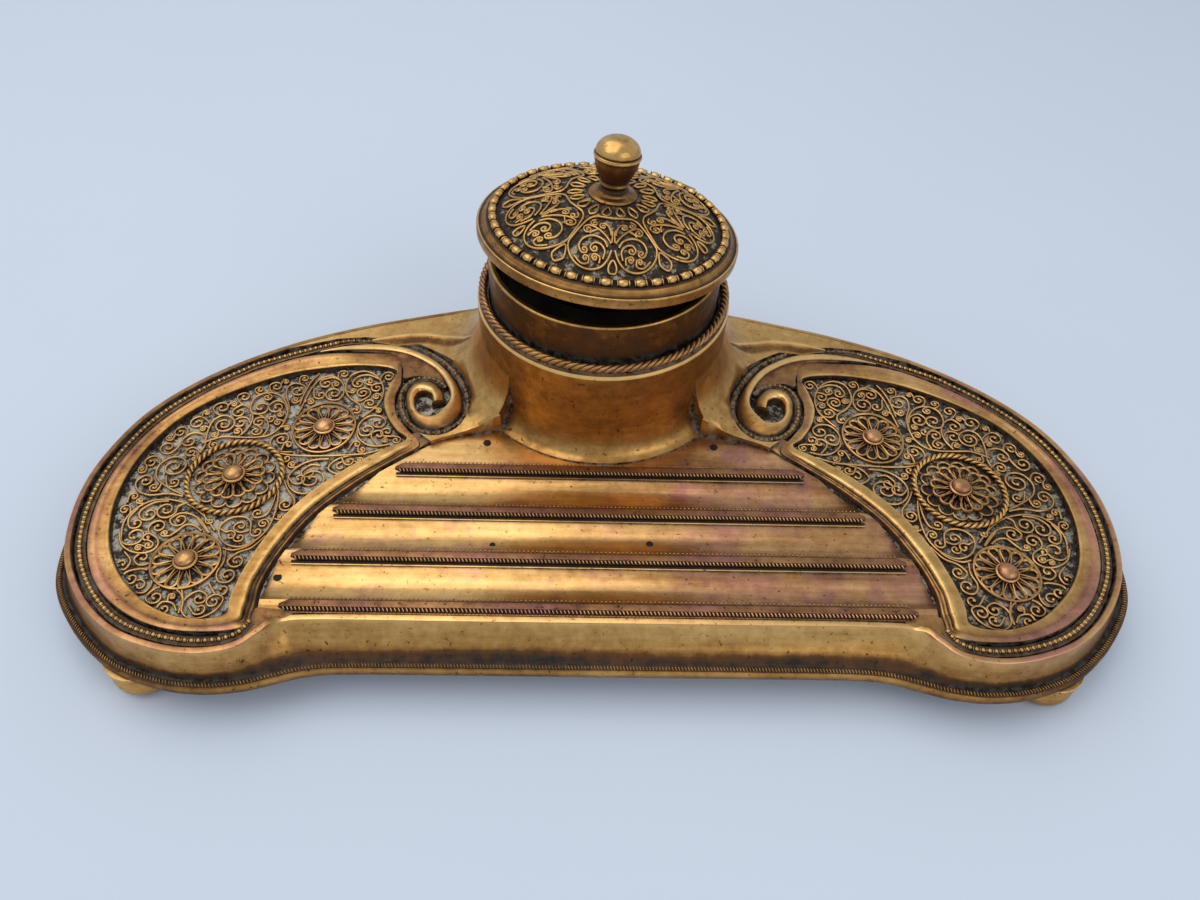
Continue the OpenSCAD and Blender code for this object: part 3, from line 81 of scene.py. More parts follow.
# Well, insert and lid
WELL_Y = 31.5
DRUM_R = 33.3
DRUM_FOOT_R = 31.5
BORE_R = 30.25
MOUTH_ROPE_R = 1.15
MOUTH_ROPE_IN = 1.1
SLEEVE_R = 29.9
SLEEVE_T = 1.5
LINER_GAP = 0.7
LID_R = 32.7
LID_AJAR = 6.9
INSERT_TURN = 38
HINGE_REACH = 33.3
HINGE_Z = 56.2
BEAD_SEAT = 4.6
DOME_R = 27.2
DOME_RISE = 6.8
DOME_FULLNESS = 3
DOME_FLAT_R = 6.4
DOME_T = 1.2
LOBE_DEPTH = 0.9
LOBES = 6
LOBE_FIRST = radians(INSERT_TURN - 90)
LID_BEAD_R = 28.9

# Ornament
FILIGREE_PLACE = np.array((-0.5, 0.7))
WIRE_R = 0.31
ROSETTES = {
    "front": dict(place=(97.8, -38.3), r=8.2, oval=1.0),
    "middle": dict(place=(93.1, -12.8), r=9.8, oval=1.0),
    "back": dict(place=(74.2, 5.0), r=8.4, oval=1.12),
}
# Wires lie in three layers over the panel
WIRE_LIFT = 0.42
LAYER = 0.12
TWIST_RING_R = 11.6
TWIST_WIRE_R = 0.85
PETALS = 14
PETAL_START = 2.2
BOSS_R = 2.4


# Curves


def unit(v):
    v = np.asarray(v, float)
    return v / np.linalg.norm(v, axis=-1, keepdims=True)


def spline(a, b, c, d, t):
    """A smooth curve from b to c, with its neighbours a and d."""
    bend = (2 * a - 5 * b + 4 * c - d) * t * t + (3 * b - a - 3 * c + d) * t**3
    return 0.5 * (2 * b + (c - a) * t + bend)


def open_curve(points, steps):
    p = np.array(points, float)
    last = len(p) - 1
    run = [
        spline(p[max(i - 1, 0)], p[i], p[i + 1], p[min(i + 2, last)], k / steps)
        for i in range(last)
        for k in range(steps)
    ]
    return np.array(run + [p[-1]])


def closed_curve(points, steps):
    p = np.array(points, float)
    n = len(p)
    return np.array(
        [
            spline(p[i - 1], p[i], p[(i + 1) % n], p[(i + 2) % n], k / steps)
            for i in range(n)
            for k in range(steps)
        ]
    )


def rightward(curve):
    """Directions to the right of a plan curve, at each of its points."""
    ends = np.vstack([curve[:1], curve, curve[-1:]])
    along = unit(ends[2:] - ends[:-2])
    return np.stack([along[:, 1], -along[:, 0]], 1)


def evenly(curve, count):
    """Points spaced evenly along a plan curve."""
    gaps = np.linalg.norm(np.diff(curve, axis=0), axis=1)
    along = np.concatenate([[0], np.cumsum(gaps)])
    places = np.linspace(0, along[-1], count)
    return np.stack([np.interp(places, along, curve[:, k]) for k in (0, 1)], 1)


def circle(centre, count, rx, ry=None):
    """Points round a circle, or round an oval with two radii."""
    a = np.arange(count) * tau / count
    return centre + np.column_stack([rx * np.cos(a), (rx if ry is None else ry) * np.sin(a)])


def flipped(points, side):
    return np.array(points, float) * (side, 1)


def at_height(points, z):
    points = np.asarray(points, float)
    return np.column_stack([points, np.full(len(points), z) if np.isscalar(z) else z])


def inside(point, outline):
    """Whether a plan point lies in a closed outline."""
    a, b = outline, np.roll(outline, -1, 0)
    crossing = (a[:, 1] > point[1]) != (b[:, 1] > point[1])
    a, b = a[crossing], b[crossing]
    x = a[:, 0] + (point[1] - a[:, 1]) / (b[:, 1] - a[:, 1]) * (b[:, 0] - a[:, 0])
    return np.count_nonzero(x > point[0]) % 2 == 1


# Plan of the stand

# Stations round the right half: the wall's top edge, and the flange beside it
HALF_STATIONS = [
    ((0, -52.8), (0, -61.6)),
    ((34, -52.8), (34, -61.6)),
    ((62, -52.8), (58, -61.7)),
    ((71.5, -53.6), (66.5, -62.6)),
    ((75.4, -57.2), (72.5, -64.3)),
    ((80, -61), (79.5, -66.2)),
    ((88.5, -62.5), (88.5, -67)),
    ((98.5, -61), (98.8, -65.6)),
    ((108.6, -56.8), (110, -61.2)),
    ((118, -48.4), (121.2, -51.8)),
    ((125, -36.5), (129.8, -39)),
    ((127.8, -20.8), (132, -21.5)),
    ((126, -6), (130, -4.8)),
    ((119.5, 9.6), (123.2, 11.9)),
    ((107, 23.6), (110, 27)),
    ((90, 35.4), (92.2, 39.3)),
    ((71, 44), (72.5, 48)),
    ((52, 50), (53, 54)),
    ((36.5, 54.2), (37.5, 58.2)),
]
# Directions round the back of the well, and the reach of the edge and the flange there
BACK_STATIONS = [(47, 2.6, 5.6), (28, 0.9, 3.4), (13, 0, 2.2), (0, 0, 2.2)]
# Each stretch between stations has this many steps; CAD_STEPS is the frame's own number
STEPS = 9
CAD_STEPS = 3
STRIP_FIRST = 16 * STEPS // CAD_STEPS
STRIP_LAST = 44 * STEPS // CAD_STEPS


def stand_outlines():
    def back_point(angle, out):
        a = radians(angle)
        return ((DRUM_R + out) * np.sin(a), WELL_Y + (DRUM_R + out) * np.cos(a))

    top = [s[0] for s in HALF_STATIONS] + [back_point(a, t) for a, t, _ in BACK_STATIONS]
    low = [s[1] for s in HALF_STATIONS] + [back_point(a, f) for a, _, f in BACK_STATIONS]
    whole = [half + [(-x, y) for x, y in half[-2:0:-1]] for half in (top, low)]
    return [closed_curve(points, STEPS) for points in whole]


TOP_EDGE, FLANGE_EDGE = stand_outlines()
OUTWARD = unit(FLANGE_EDGE - TOP_EDGE)
WALL_FOOT = FLANGE_EDGE - OUTWARD * FLANGE_W
WALL_INSIDE = TOP_EDGE - OUTWARD * RIM_W

# Stations round the opening of a wing: outer and inner edge of its gold frame
FRAME_STATIONS = [
    ((79.2, -56.2), (84, -52.4)),
    ((88.5, -57.4), (90.5, -53.8)),
    ((98, -56.2), (98, -52)),
    ((107.3, -52), (104.5, -48)),
    ((115.3, -44.8), (111.5, -41)),
    ((120.8, -34), (116.4, -32)),
    ((122.8, -20.5), (118.8, -20)),
    ((121, -6.8), (117.4, -6.5)),
    ((115, 6.6), (111.5, 6.6)),
    ((103.8, 19.2), (102, 16)),
    ((89.5, 28.8), (88, 24)),
    ((79, 32.4), (76, 27.4)),
    ((68, 33.4), (66, 28.6)),
    ((58.2, 32.4), (57.6, 26.8)),
    ((55.4, 22.8), (58.7, 20.5)),
    ((56.2, 16), (59.2, 14.8)),
    ((54.7, 9), (57.4, 9)),
    ((51, 3.8), (54.2, 4)),
    ((47.4, -1.2), (51.3, 0.9)),
    ((52.6, -5.8), (57, -3.2)),
    ((61.4, -13.6), (65.5, -10.2)),
    ((70.1, -23.9), (73.8, -19.5)),
    ((75.3, -34.4), (79.6, -30)),
    ((77.9, -43.5), (83, -41)),
    ((77.9, -51.6), (84, -48)),
]
FRAME_OUTER = closed_curve([s[0] for s in FRAME_STATIONS], 8)
FRAME_INNER = closed_curve([s[1] for s in FRAME_STATIONS], 8)

# Edge of the tray beside a wing, from the well to the front
ARC_EDGE = [
    (29, 5), (37, 3), (44.6, -0.2), (52.1, -6.1), (61, -13.9), (69.7, -24.1),
    (74.9, -34.5), (77.5, -43.5), (77.4, -50.6),
]  # fmt: skip
ARC_CURVE = open_curve(ARC_EDGE, CAD_STEPS)

# Volute: direction round its eye, and radii of its outer edge, crest and inner edge
VOLUTE_EYE = np.array((46.5, 13.2))
VOLUTE_STATIONS = [
    (31, 39.1, 38.9, 38.7),
    (45, 33.3, 31.8, 30.2),
    (64, 26, 24.2, 22.4),
    (84, 19, 17, 15.4),
    (112, 12.6, 10.6, 9.2),
    (150, 9.4, 7.2, 6),
    (205, 9.1, 5.2, 4.1),
    (250, 9.3, 5.8, 4.6),
    (295, 7.2, 5.3, 4.3),
    (330, 6.2, 4.9, 3.9),
    (368, 6.7, 5.2, 4.1),
    (395, 8.4, 6.6, 5),
    (420, 9.9, 7.7, 5.8),
    (445, 9.2, 6.2, 4.2),
    (470, 6.8, 3.6, 2),
    (515, 3.9, 1.6, 0.6),
]
VOLUTE_CURVE = open_curve(VOLUTE_STATIONS, 10)
BEADS_FROM = 64
BEADS_TO = 470


def volute_point(angle, r):
    a = radians(angle)
    return VOLUTE_EYE + r * np.array((np.cos(a), np.sin(a)))


def scroll_edge():
    """The volute's outer edge, as far as the beads follow it."""
    curve = open_curve(VOLUTE_STATIONS, 4)
    run = [volute_point(s[0], s[1]) for s in curve if BEADS_FROM <= s[0] <= BEADS_TO]
    return np.array([(75.5, 36.3), (68, 37.2)] + run)


def strip_path():
    """The middle of the bead strip: along the rim, then round the volute."""
    rim = TOP_EDGE - OUTWARD * (RIM_W + STRIP_W / 2)
    edge = scroll_edge()
    scroll = edge + (STRIP_GAP + BEAD_HALF_W) * rightward(edge)
    corner = [(78.1, -54.4), (79.6, -57)]
    whole = np.vstack([corner, rim[STRIP_FIRST : STRIP_LAST + 1 : 3], scroll])
    return open_curve(whole, 3)


def edge_x(y):
    """How far the tray reaches to the right at a depth."""
    for a, b in zip(ARC_CURVE, ARC_CURVE[1:]):
        if a[1] >= y >= b[1]:
            return a[0] + (b[0] - a[0]) * (a[1] - y) / max(0.001, a[1] - b[1])


# Meshes


def piece(name, mesh, material, body, replaces=(), angle=38):
    """A finished object at the origin, smooth but for its sharp edges."""
    obj = bpy.data.objects.new(name, mesh)
    scene.collection.objects.link(obj)
    mesh.materials.clear()
    mesh.materials.append(material)
    mesh.polygons.foreach_set("use_smooth", [True] * len(mesh.polygons))
    if angle:
        mesh.set_sharp_from_angle(angle=radians(angle))
    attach(obj, body)
    if replaces:
        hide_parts(*replaces)


def solid_mesh(name, points, faces, wear_and_shade=None, copper=None):
    """A mesh in metres with its doubles merged and its faces outward. Its tone runs from 0, dark in
    the recesses, to 1, rubbed bright, and in places carries painted light and shade as well; copper
    is where the gilding has gone to red."""
    mesh = bpy.data.meshes.new(name)
    mesh.from_pydata((np.asarray(points, float) * MM).tolist(), [], faces)
    for key, values in (("wear_and_shade", wear_and_shade), ("copper", copper)):
        layer = mesh.attributes.new(key, "FLOAT", "POINT")
        values = 0.0 if values is None else values
        full = np.broadcast_to(np.asarray(values, float), len(points))
        layer.data.foreach_set("value", full.astype(np.float32))
    work = bmesh.new()
    work.from_mesh(mesh)
    bmesh.ops.remove_doubles(work, verts=work.verts, dist=1e-7)
    bmesh.ops.recalc_face_normals(work, faces=work.faces)
    work.to_mesh(mesh)
    work.free()
    return mesh


def loft(sections, closed):
    """Points and faces through equal sections, in a ring or capped at both ends."""
    sections = np.asarray(sections, float)
    n, m = sections.shape[:2]
    faces = []
    for i in range(n if closed else n - 1):
        k = (i + 1) % n
        for j in range(m):
            after = (j + 1) % m
            faces.append((i * m + j, i * m + after, k * m + after, k * m + j))
    if not closed:
        faces += [tuple(range(m))[::-1], tuple((n - 1) * m + j for j in range(m))]
    return sections.reshape(-1, 3), faces


def rounded(profile, radius, steps=3):
    """A closed profile with a small round at each corner that isn't on the axis."""
    p = np.array(profile, float)
    out = []
    for i, corner in enumerate(p):
        before, after = p[i - 1] - corner, p[(i + 1) % len(p)] - corner
        reach = min(radius, 0.42 * np.linalg.norm(before), 0.42 * np.linalg.norm(after))
        if corner[0] < 1e-6 or reach < 0.02:
            out.append(corner)
            continue
        a, b = corner + unit(before) * reach, corner + unit(after) * reach
        for t in np.linspace(0, 1, steps + 1):
            out.append((1 - t) ** 2 * a + 2 * t * (1 - t) * corner + t * t * b)
    return np.array(out)


EDGE_GAIN = 0.9


def edge_tone(profile, base):
    """Wear along a closed profile: its outward corners are rubbed, its hollows are dark."""
    p = np.asarray(profile, float)
    before, after = unit(p - np.roll(p, 1, 0) + 1e-9), unit(np.roll(p, -1, 0) - p + 1e-9)
    area = np.sum(p[:, 0] * np.roll(p[:, 1], -1) - np.roll(p[:, 0], -1) * p[:, 1])
    turn = before[:, 0] * after[:, 1] - before[:, 1] * after[:, 0]
    return np.clip(base + EDGE_GAIN * np.sign(area) * turn, 0, 1)


def turned(profile, segments, radius=0.3, base=0.55, centre=(0, 0), tone=None):
    """A lathe-turned body: points, faces and wear."""
    shape = rounded(profile, radius)
    wear_and_shade = edge_tone(shape, base) if tone is None else tone(shape)
    a = np.arange(segments) * tau / segments
    r = shape[:, 0]
    ring = np.stack(
        [
            centre[0] + np.outer(np.cos(a), r),
            centre[1] + np.outer(np.sin(a), r),
            np.broadcast_to(shape[:, 1], (segments, len(r))),
        ],
        2,
    )
    points, faces = loft(ring, True)
    return points, faces, np.tile(wear_and_shade, segments)


def added(whole, part):
    """The points, faces and wear of two bodies as one."""
    points, faces, wear_and_shade = whole
    more = [tuple(len(points) + k for k in face) for face in part[1]]
    return np.vstack([points, part[0]]), faces + more, np.concatenate([wear_and_shade, part[2]])


def on_lid(points):
    """Moves points drawn over the closed lid's middle to the lid standing ajar."""
    p = np.asarray(points, float) + (0, -HINGE_REACH, LID_Z - HINGE_Z)
    tilt, turn = radians(-LID_AJAR), radians(INSERT_TURN)
    y = p[:, 1] * np.cos(tilt) - p[:, 2] * np.sin(tilt) + HINGE_REACH
    z = p[:, 1] * np.sin(tilt) + p[:, 2] * np.cos(tilt)
    across = p[:, 0] * np.cos(turn) + y * np.sin(turn)
    back = y * np.cos(turn) - p[:, 0] * np.sin(turn)
    return np.column_stack([across, back + WELL_Y, z + HINGE_Z])


def height_over(node):
    """The height of a machined node's top at a plan point, or the rim's where it has none."""
    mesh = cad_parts[node].data
    points = [v.co for v in mesh.vertices]
    surface = BVHTree.FromPolygons(points, [p.vertices[:] for p in mesh.polygons])

    def height(x, y):
        hit = surface.ray_cast(Vector((x, y, LID_Z)) * MM, Vector((0, 0, -1)))[0]
        return hit.z / MM if hit else RIM_Z

    return height


def polished(node, material, body, wear_and_shade=0.55):
    """A smooth copy of a machined node."""
    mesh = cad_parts[node].data.copy()
    work = bmesh.new()
    work.from_mesh(mesh)
    bmesh.ops.remove_doubles(work, verts=work.verts, dist=2e-6)
    bmesh.ops.dissolve_limit(work, angle_limit=radians(0.5), verts=work.verts, edges=work.edges)
    work.to_mesh(mesh)
    work.free()
    layer = mesh.attributes.new("wear_and_shade", "FLOAT", "POINT")
    layer.data.foreach_set("value", [wear_and_shade] * len(mesh.vertices))
    piece(node + "_finish", mesh, material, body, [node], 35)


# Node trees


def put(tree, kind, sockets=None, **settings):
    """A node with its settings, and its sockets linked or given a value. A node that is given as
    a value stands for its first output."""
    node = tree.nodes.new(kind)
    for key, value in settings.items():
        setattr(node, key, value)
    for key, value in (sockets or {}).items():
        if isinstance(value, bpy.types.Node):
            value = value.outputs[0]
        if isinstance(value, bpy.types.NodeSocket):
            tree.links.new(value, node.inputs[key])
        else:
            node.inputs[key].default_value = value
    return node


def geometry_tree(name, **inputs):
    """A geometry tree with named inputs: a number, a whole number, a vector or a material."""
    tree = bpy.data.node_groups.new(name, "GeometryNodeTree")
    tree.is_modifier = True
    kinds = {float: "NodeSocketFloat", int: "NodeSocketInt", tuple: "NodeSocketVector"}
    face = tree.interface
    face.new_socket("Geometry", in_out="INPUT", socket_type="NodeSocketGeometry")
    for key, value in inputs.items():
        kind = kinds.get(type(value), "NodeSocketMaterial")
        socket = face.new_socket(key.replace("_", " "), in_out="INPUT", socket_type=kind)
        if value is not None:
            socket.default_value = value
    face.new_socket("Geometry", in_out="OUTPUT", socket_type="NodeSocketGeometry")
    return tree, tree.nodes.new("NodeGroupInput").outputs


def end_tree(tree, parts, material):
    """Ends a tree: its parts joined, made real and given their material."""
    joined = put(tree, "GeometryNodeJoinGeometry")
    for part in parts:
        tree.links.new(part.outputs[0], joined.inputs[0])
    real = put(tree, "GeometryNodeRealizeInstances", {"Geometry": joined})
    last = put(tree, "GeometryNodeSetMaterial", {"Geometry": real, "Material": material})
    put(tree, "NodeGroupOutput", {"Geometry": last})


def guide_curve(tree, given):
    """The guide's runs as curves, with their normals upright."""
    curve = put(tree, "GeometryNodeMeshToCurve", {"Mesh": given["Geometry"]})
    return put(tree, "GeometryNodeSetCurveNormal", {"Curve": curve}, mode="Z_UP")


def oval_wire(tree, given, capped):
    """A wire of oval section along the guide's runs."""
    section = {"Resolution": 7, "Radius": given["Wire radius"]}
    ring = put(tree, "GeometryNodeCurvePrimitiveCircle", section)
    squeeze = put(tree, "ShaderNodeCombineXYZ", {"X": 1.0, "Y": given["Rise"], "Z": 1.0})
    oval = put(tree, "GeometryNodeTransform", {"Geometry": ring, "Scale": squeeze})
    sweep = {"Curve": guide_curve(tree, given), "Profile Curve": oval, "Fill Caps": capped}
    return put(tree, "GeometryNodeCurveToMesh", sweep)


def wire_tree():
    """Round wires along the guide's runs, with a small ball on each point marked as an eye."""
    tree, given = geometry_tree(
        "wires", Wire_radius=0.0003, Rise=1.3, Ball_radius=0.0006, Material=None
    )
    wire = oval_wire(tree, given, True)
    mark = put(tree, "GeometryNodeInputNamedAttribute", {"Name": "eye"}, data_type="BOOLEAN")
    eyes = put(tree, "GeometryNodeMeshToPoints", {"Mesh": given["Geometry"], "Selection": mark})
    shape = {"Segments": 9, "Rings": 6, "Radius": given["Ball radius"]}
    ball = put(tree, "GeometryNodeMeshUVSphere", shape)
    balls = put(tree, "GeometryNodeInstanceOnPoints", {"Points": eyes, "Instance": ball})
    end_tree(tree, [wire, balls], given["Material"])
    return tree


def bead_tree():
    """Beads and reels in turn along the guide's runs: one bead in every few places."""
    tree, given = geometry_tree(
        "beads",
        Count=100,
        Places=3,
        Bead_size=(0.001, 0.001, 0.001),
        Reel_size=(0.001, 0.001, 0.001),
        Slant=0.0,
        Material=None,
    )
    path = {"Curve": guide_curve(tree, given), "Count": given["Count"]}
    spots = put(tree, "GeometryNodeCurveToPoints", path, mode="COUNT")
    tangent = {"Vector": spots.outputs["Tangent"]}
    turn = put(tree, "FunctionNodeAlignRotationToVector", tangent, axis="X")
    lean = put(tree, "ShaderNodeCombineXYZ", {"Z": given["Slant"]})
    turns = {"Rotation": turn, "Rotate By": lean}
    slanted = put(tree, "FunctionNodeRotateRotation", turns, rotation_space="LOCAL")
    place = put(tree, "GeometryNodeInputIndex")
    share = {0: place, 1: given["Places"]}
    rest = put(tree, "FunctionNodeIntegerMath", share, operation="MODULO")
    whole = {"data_type": "INT", "operation": "EQUAL"}
    is_bead = put(tree, "FunctionNodeCompare", {2: rest, 3: 0}, **whole)
    is_reel = put(tree, "FunctionNodeBooleanMath", {0: is_bead}, operation="NOT")
    ball = put(tree, "GeometryNodeMeshUVSphere", {"Segments": 8, "Rings": 6, "Radius": 0.5})
    rows = []
    for chosen, size in ((is_bead, "Bead size"), (is_reel, "Reel size")):
        row = {"Points": spots, "Selection": chosen, "Instance": ball}
        row |= {"Rotation": slanted, "Scale": given[size]}
        rows.append(put(tree, "GeometryNodeInstanceOnPoints", row))
    end_tree(tree, rows, given["Material"])
    return tree


def rope_tree(strands):
    """Strands twisted round the guide's closed run."""
    tree, given = geometry_tree(
        "rope", Samples=600, Turns=30.0, Strand_radius=0.0005, Lay_radius=0.0005, Material=None
    )

    def number(operation, *values):
        return put(tree, "ShaderNodeMath", dict(enumerate(values)), operation=operation)

    def vector(operation, sockets):
        return put(tree, "ShaderNodeVectorMath", sockets, operation=operation)

    curve = put(tree, "GeometryNodeMeshToCurve", {"Mesh": given["Geometry"]})
    even = put(tree, "GeometryNodeResampleCurve", {"Curve": curve, "Count": given["Samples"]})
    along = put(tree, "GeometryNodeSplineParameter").outputs["Factor"]
    tangent = put(tree, "GeometryNodeInputTangent")
    across = vector("CROSS_PRODUCT", {0: tangent, 1: (0, 0, 1)})
    sideways = vector("NORMALIZE", {0: across})
    upward = vector("CROSS_PRODUCT", {0: sideways, 1: tangent})
    section = {"Resolution": 8, "Radius": given["Strand radius"]}
    ring = put(tree, "GeometryNodeCurvePrimitiveCircle", section)
    wires = []
    for strand in range(strands):
        laps = number("MULTIPLY_ADD", along, given["Turns"], strand / strands)
        angle = number("MULTIPLY", laps, tau)
        parts = []
        for function, direction in (("COSINE", sideways), ("SINE", upward)):
            reach = number("MULTIPLY", number(function, angle), given["Lay radius"])
            parts.append(vector("SCALE", {0: direction, "Scale": reach}))
        offset = vector("ADD", dict(enumerate(parts)))
        laid = put(tree, "GeometryNodeSetPosition", {"Geometry": even, "Offset": offset})
        sweep = {"Curve": laid, "Profile Curve": ring}
        wires.append(put(tree, "GeometryNodeCurveToMesh", sweep))
    end_tree(tree, wires, given["Material"])
    return tree


def petal_tree():
    """The guide, one petal drawn towards +X, repeated round the middle as wire loops."""
    tree, given = geometry_tree(
        "petals",
        Petals=PETALS,
        Wire_radius=0.0003,
        Rise=1.0,
        Centre=(0.0, 0.0, 0.0),
        First_angle=0.0,
        Material=None,
    )
    wire = oval_wire(tree, given, False)
    spots = put(tree, "GeometryNodeMeshLine", {"Count": given["Petals"], "Offset": (0, 0, 0)})
    step = put(tree, "ShaderNodeMath", {0: tau, 1: given["Petals"]}, operation="DIVIDE")
    place = put(tree, "GeometryNodeInputIndex")
    terms = {0: place, 1: step, 2: given["First angle"]}
    angle = put(tree, "ShaderNodeMath", terms, operation="MULTIPLY_ADD")
    turn = put(tree, "ShaderNodeCombineXYZ", {"Z": angle})
    copies = {"Points": spots, "Instance": wire, "Rotation": turn}
    row = put(tree, "GeometryNodeInstanceOnPoints", copies)
    moved = put(tree, "GeometryNodeTransform", {"Geometry": row, "Translation": given["Centre"]})
    end_tree(tree, [moved], given["Material"])
    return tree


def guide(runs, closed=False, eyes=()):
    """An object of plain edges for a tree to follow."""
    points, edges, marks = [], [], []
    for k, run in enumerate(runs):
        start, n = len(points), len(run)
        points += (np.asarray(run, float) * MM).tolist()
        edges += [(start + i, start + i + 1) for i in range(n - 1)]
        if closed:
            edges.append((start + n - 1, start))
        marks += [False] * (n - 1) + [k in eyes]
    mesh = bpy.data.meshes.new("guide")
    mesh.from_pydata(points, edges, [])
    mesh.attributes.new("eye", "BOOLEAN", "POINT").data.foreach_set("value", marks)
    obj = bpy.data.objects.new("guide", mesh)
    scene.collection.objects.link(obj)
    return obj


def grown(tree, source, **values):
    """The plain mesh that a tree makes from a guide."""
    modifier = source.modifiers.new("grow", "NODES")
    modifier.node_group = tree
    for item in tree.interface.items_tree:
        key = item.name.replace(" ", "_")
        if item.in_out == "INPUT" and key in values:
            modifier[item.identifier] = values[key]
    bpy.context.view_layer.update()
    depsgraph = bpy.context.evaluated_depsgraph_get()
    mesh = bpy.data.meshes.new_from_object(source.evaluated_get(depsgraph))
    bpy.data.objects.remove(source)
    return mesh


def wires(source, radius, rise, ball, material):
    """Wires along a guide, taller than wide by the rise, with a ball on each eye."""
    sizes = {"Wire_radius": radius * MM, "Rise": rise, "Ball_radius": ball * MM}
    return grown(WIRE_TREE, source, **sizes, Material=material)


def bead_row(run, count, size, material, closed=False, places=1, reel=(1, 1, 1), slant=0.0):
    """Beads along a run, or beads and reels in turn where a bead has more than one place."""
    return grown(
        BEAD_TREE,
        guide([run], closed),
        Count=count,
        Places=places,
        Bead_size=tuple(s * MM for s in size),
        Reel_size=tuple(s * MM for s in reel),
        Slant=slant,
        Material=material,
    )


# Materials


def screen(r, g, b):
    """The linear colour of a screen colour."""
    return tuple(
        c / 3294.6 if c < 11 else ((c / 255 + 0.055) / 1.055) ** 2.4 for c in (r, g, b)
    ) + (1.0,)


GOLD_LIGHT = screen(240, 190, 116)
GOLD = screen(174, 126, 66)
BROWN = screen(104, 68, 36)
BLACK = screen(30, 21, 14)
COPPER = screen(216, 146, 118)
COPPER_DARK = screen(104, 68, 56)
RESIDUE = screen(178, 172, 156)


class Finish:
    """A material of a Principled surface and what feeds it."""

    def __init__(self, name):
        self.material = bpy.data.materials.new(name)
        self.material.use_nodes = True
        self.tree = self.material.node_tree
        self.surface = self.tree.nodes["Principled BSDF"]
        self.coords = put(self.tree, "ShaderNodeTexCoord").outputs["Object"]

    def noise(self, scale, detail=4.0, stretch=None, roughness=0.6, shift=0.0):
        vector = self.coords
        if stretch or shift:
            moves = {"Scale": stretch or (1, 1, 1), "Location": (shift, shift, shift)}
            vector = put(self.tree, "ShaderNodeMapping", {"Vector": vector} | moves)
        values = {"Vector": vector, "Scale": scale, "Detail": detail, "Roughness": roughness}
        return put(self.tree, "ShaderNodeTexNoise", values).outputs["Fac"]

    def axis(self, name):
        """The object's own X, Y or Z, in metres."""
        return put(self.tree, "ShaderNodeSeparateXYZ", {"Vector": self.coords}).outputs[name]

    def attribute(self, name):
        return put(self.tree, "ShaderNodeAttribute", attribute_name=name).outputs["Fac"]

    def openness(self, distance):
        reach = {"Distance": distance * MM}
        return put(self.tree, "ShaderNodeAmbientOcclusion", reach, samples=6).outputs["AO"]

    def math(self, operation, a, b=0.0, c=None, clamp=False):
        sockets = {0: a, 1: b} if c is None else {0: a, 1: b, 2: c}
        node = put(self.tree, "ShaderNodeMath", sockets, operation=operation)
        node.use_clamp = clamp
        return node.outputs[0]

    def band(self, value, low, high, to_low=0.0, to_high=1.0):
        """Value rising smoothly between two limits, mapped to two others."""
        ends = {"From Min": low, "From Max": high, "To Min": to_low, "To Max": to_high}
        sockets = {"Value": value} | ends
        kind = "ShaderNodeMapRange"
        return put(self.tree, kind, sockets, interpolation_type="SMOOTHSTEP").outputs[0]

    def ramp(self, value, *stops):
        node = put(self.tree, "ShaderNodeValToRGB", {"Fac": value})
        bands = node.color_ramp.elements
        for k, (place, colour) in enumerate(stops):
            stop = bands[k] if k < 2 else bands.new(place)
            stop.position, stop.color = place, colour
        return node.outputs["Color"]

    def mix(self, factor, a, b):
        kinds = {"data_type": "RGBA", "clamp_factor": True}
        return put(self.tree, "ShaderNodeMix", {0: factor, 6: a, 7: b}, **kinds).outputs[2]

    def feed(self, name, value):
        if isinstance(value, bpy.types.NodeSocket):
            self.tree.links.new(value, self.surface.inputs[name])
        else:
            self.surface.inputs[name].default_value = value

    def bump(self, height, depth):
        values = {"Height": height, "Distance": depth * MM, "Strength": 1.0}
        self.feed("Normal", put(self.tree, "ShaderNodeBump", values).outputs[0])


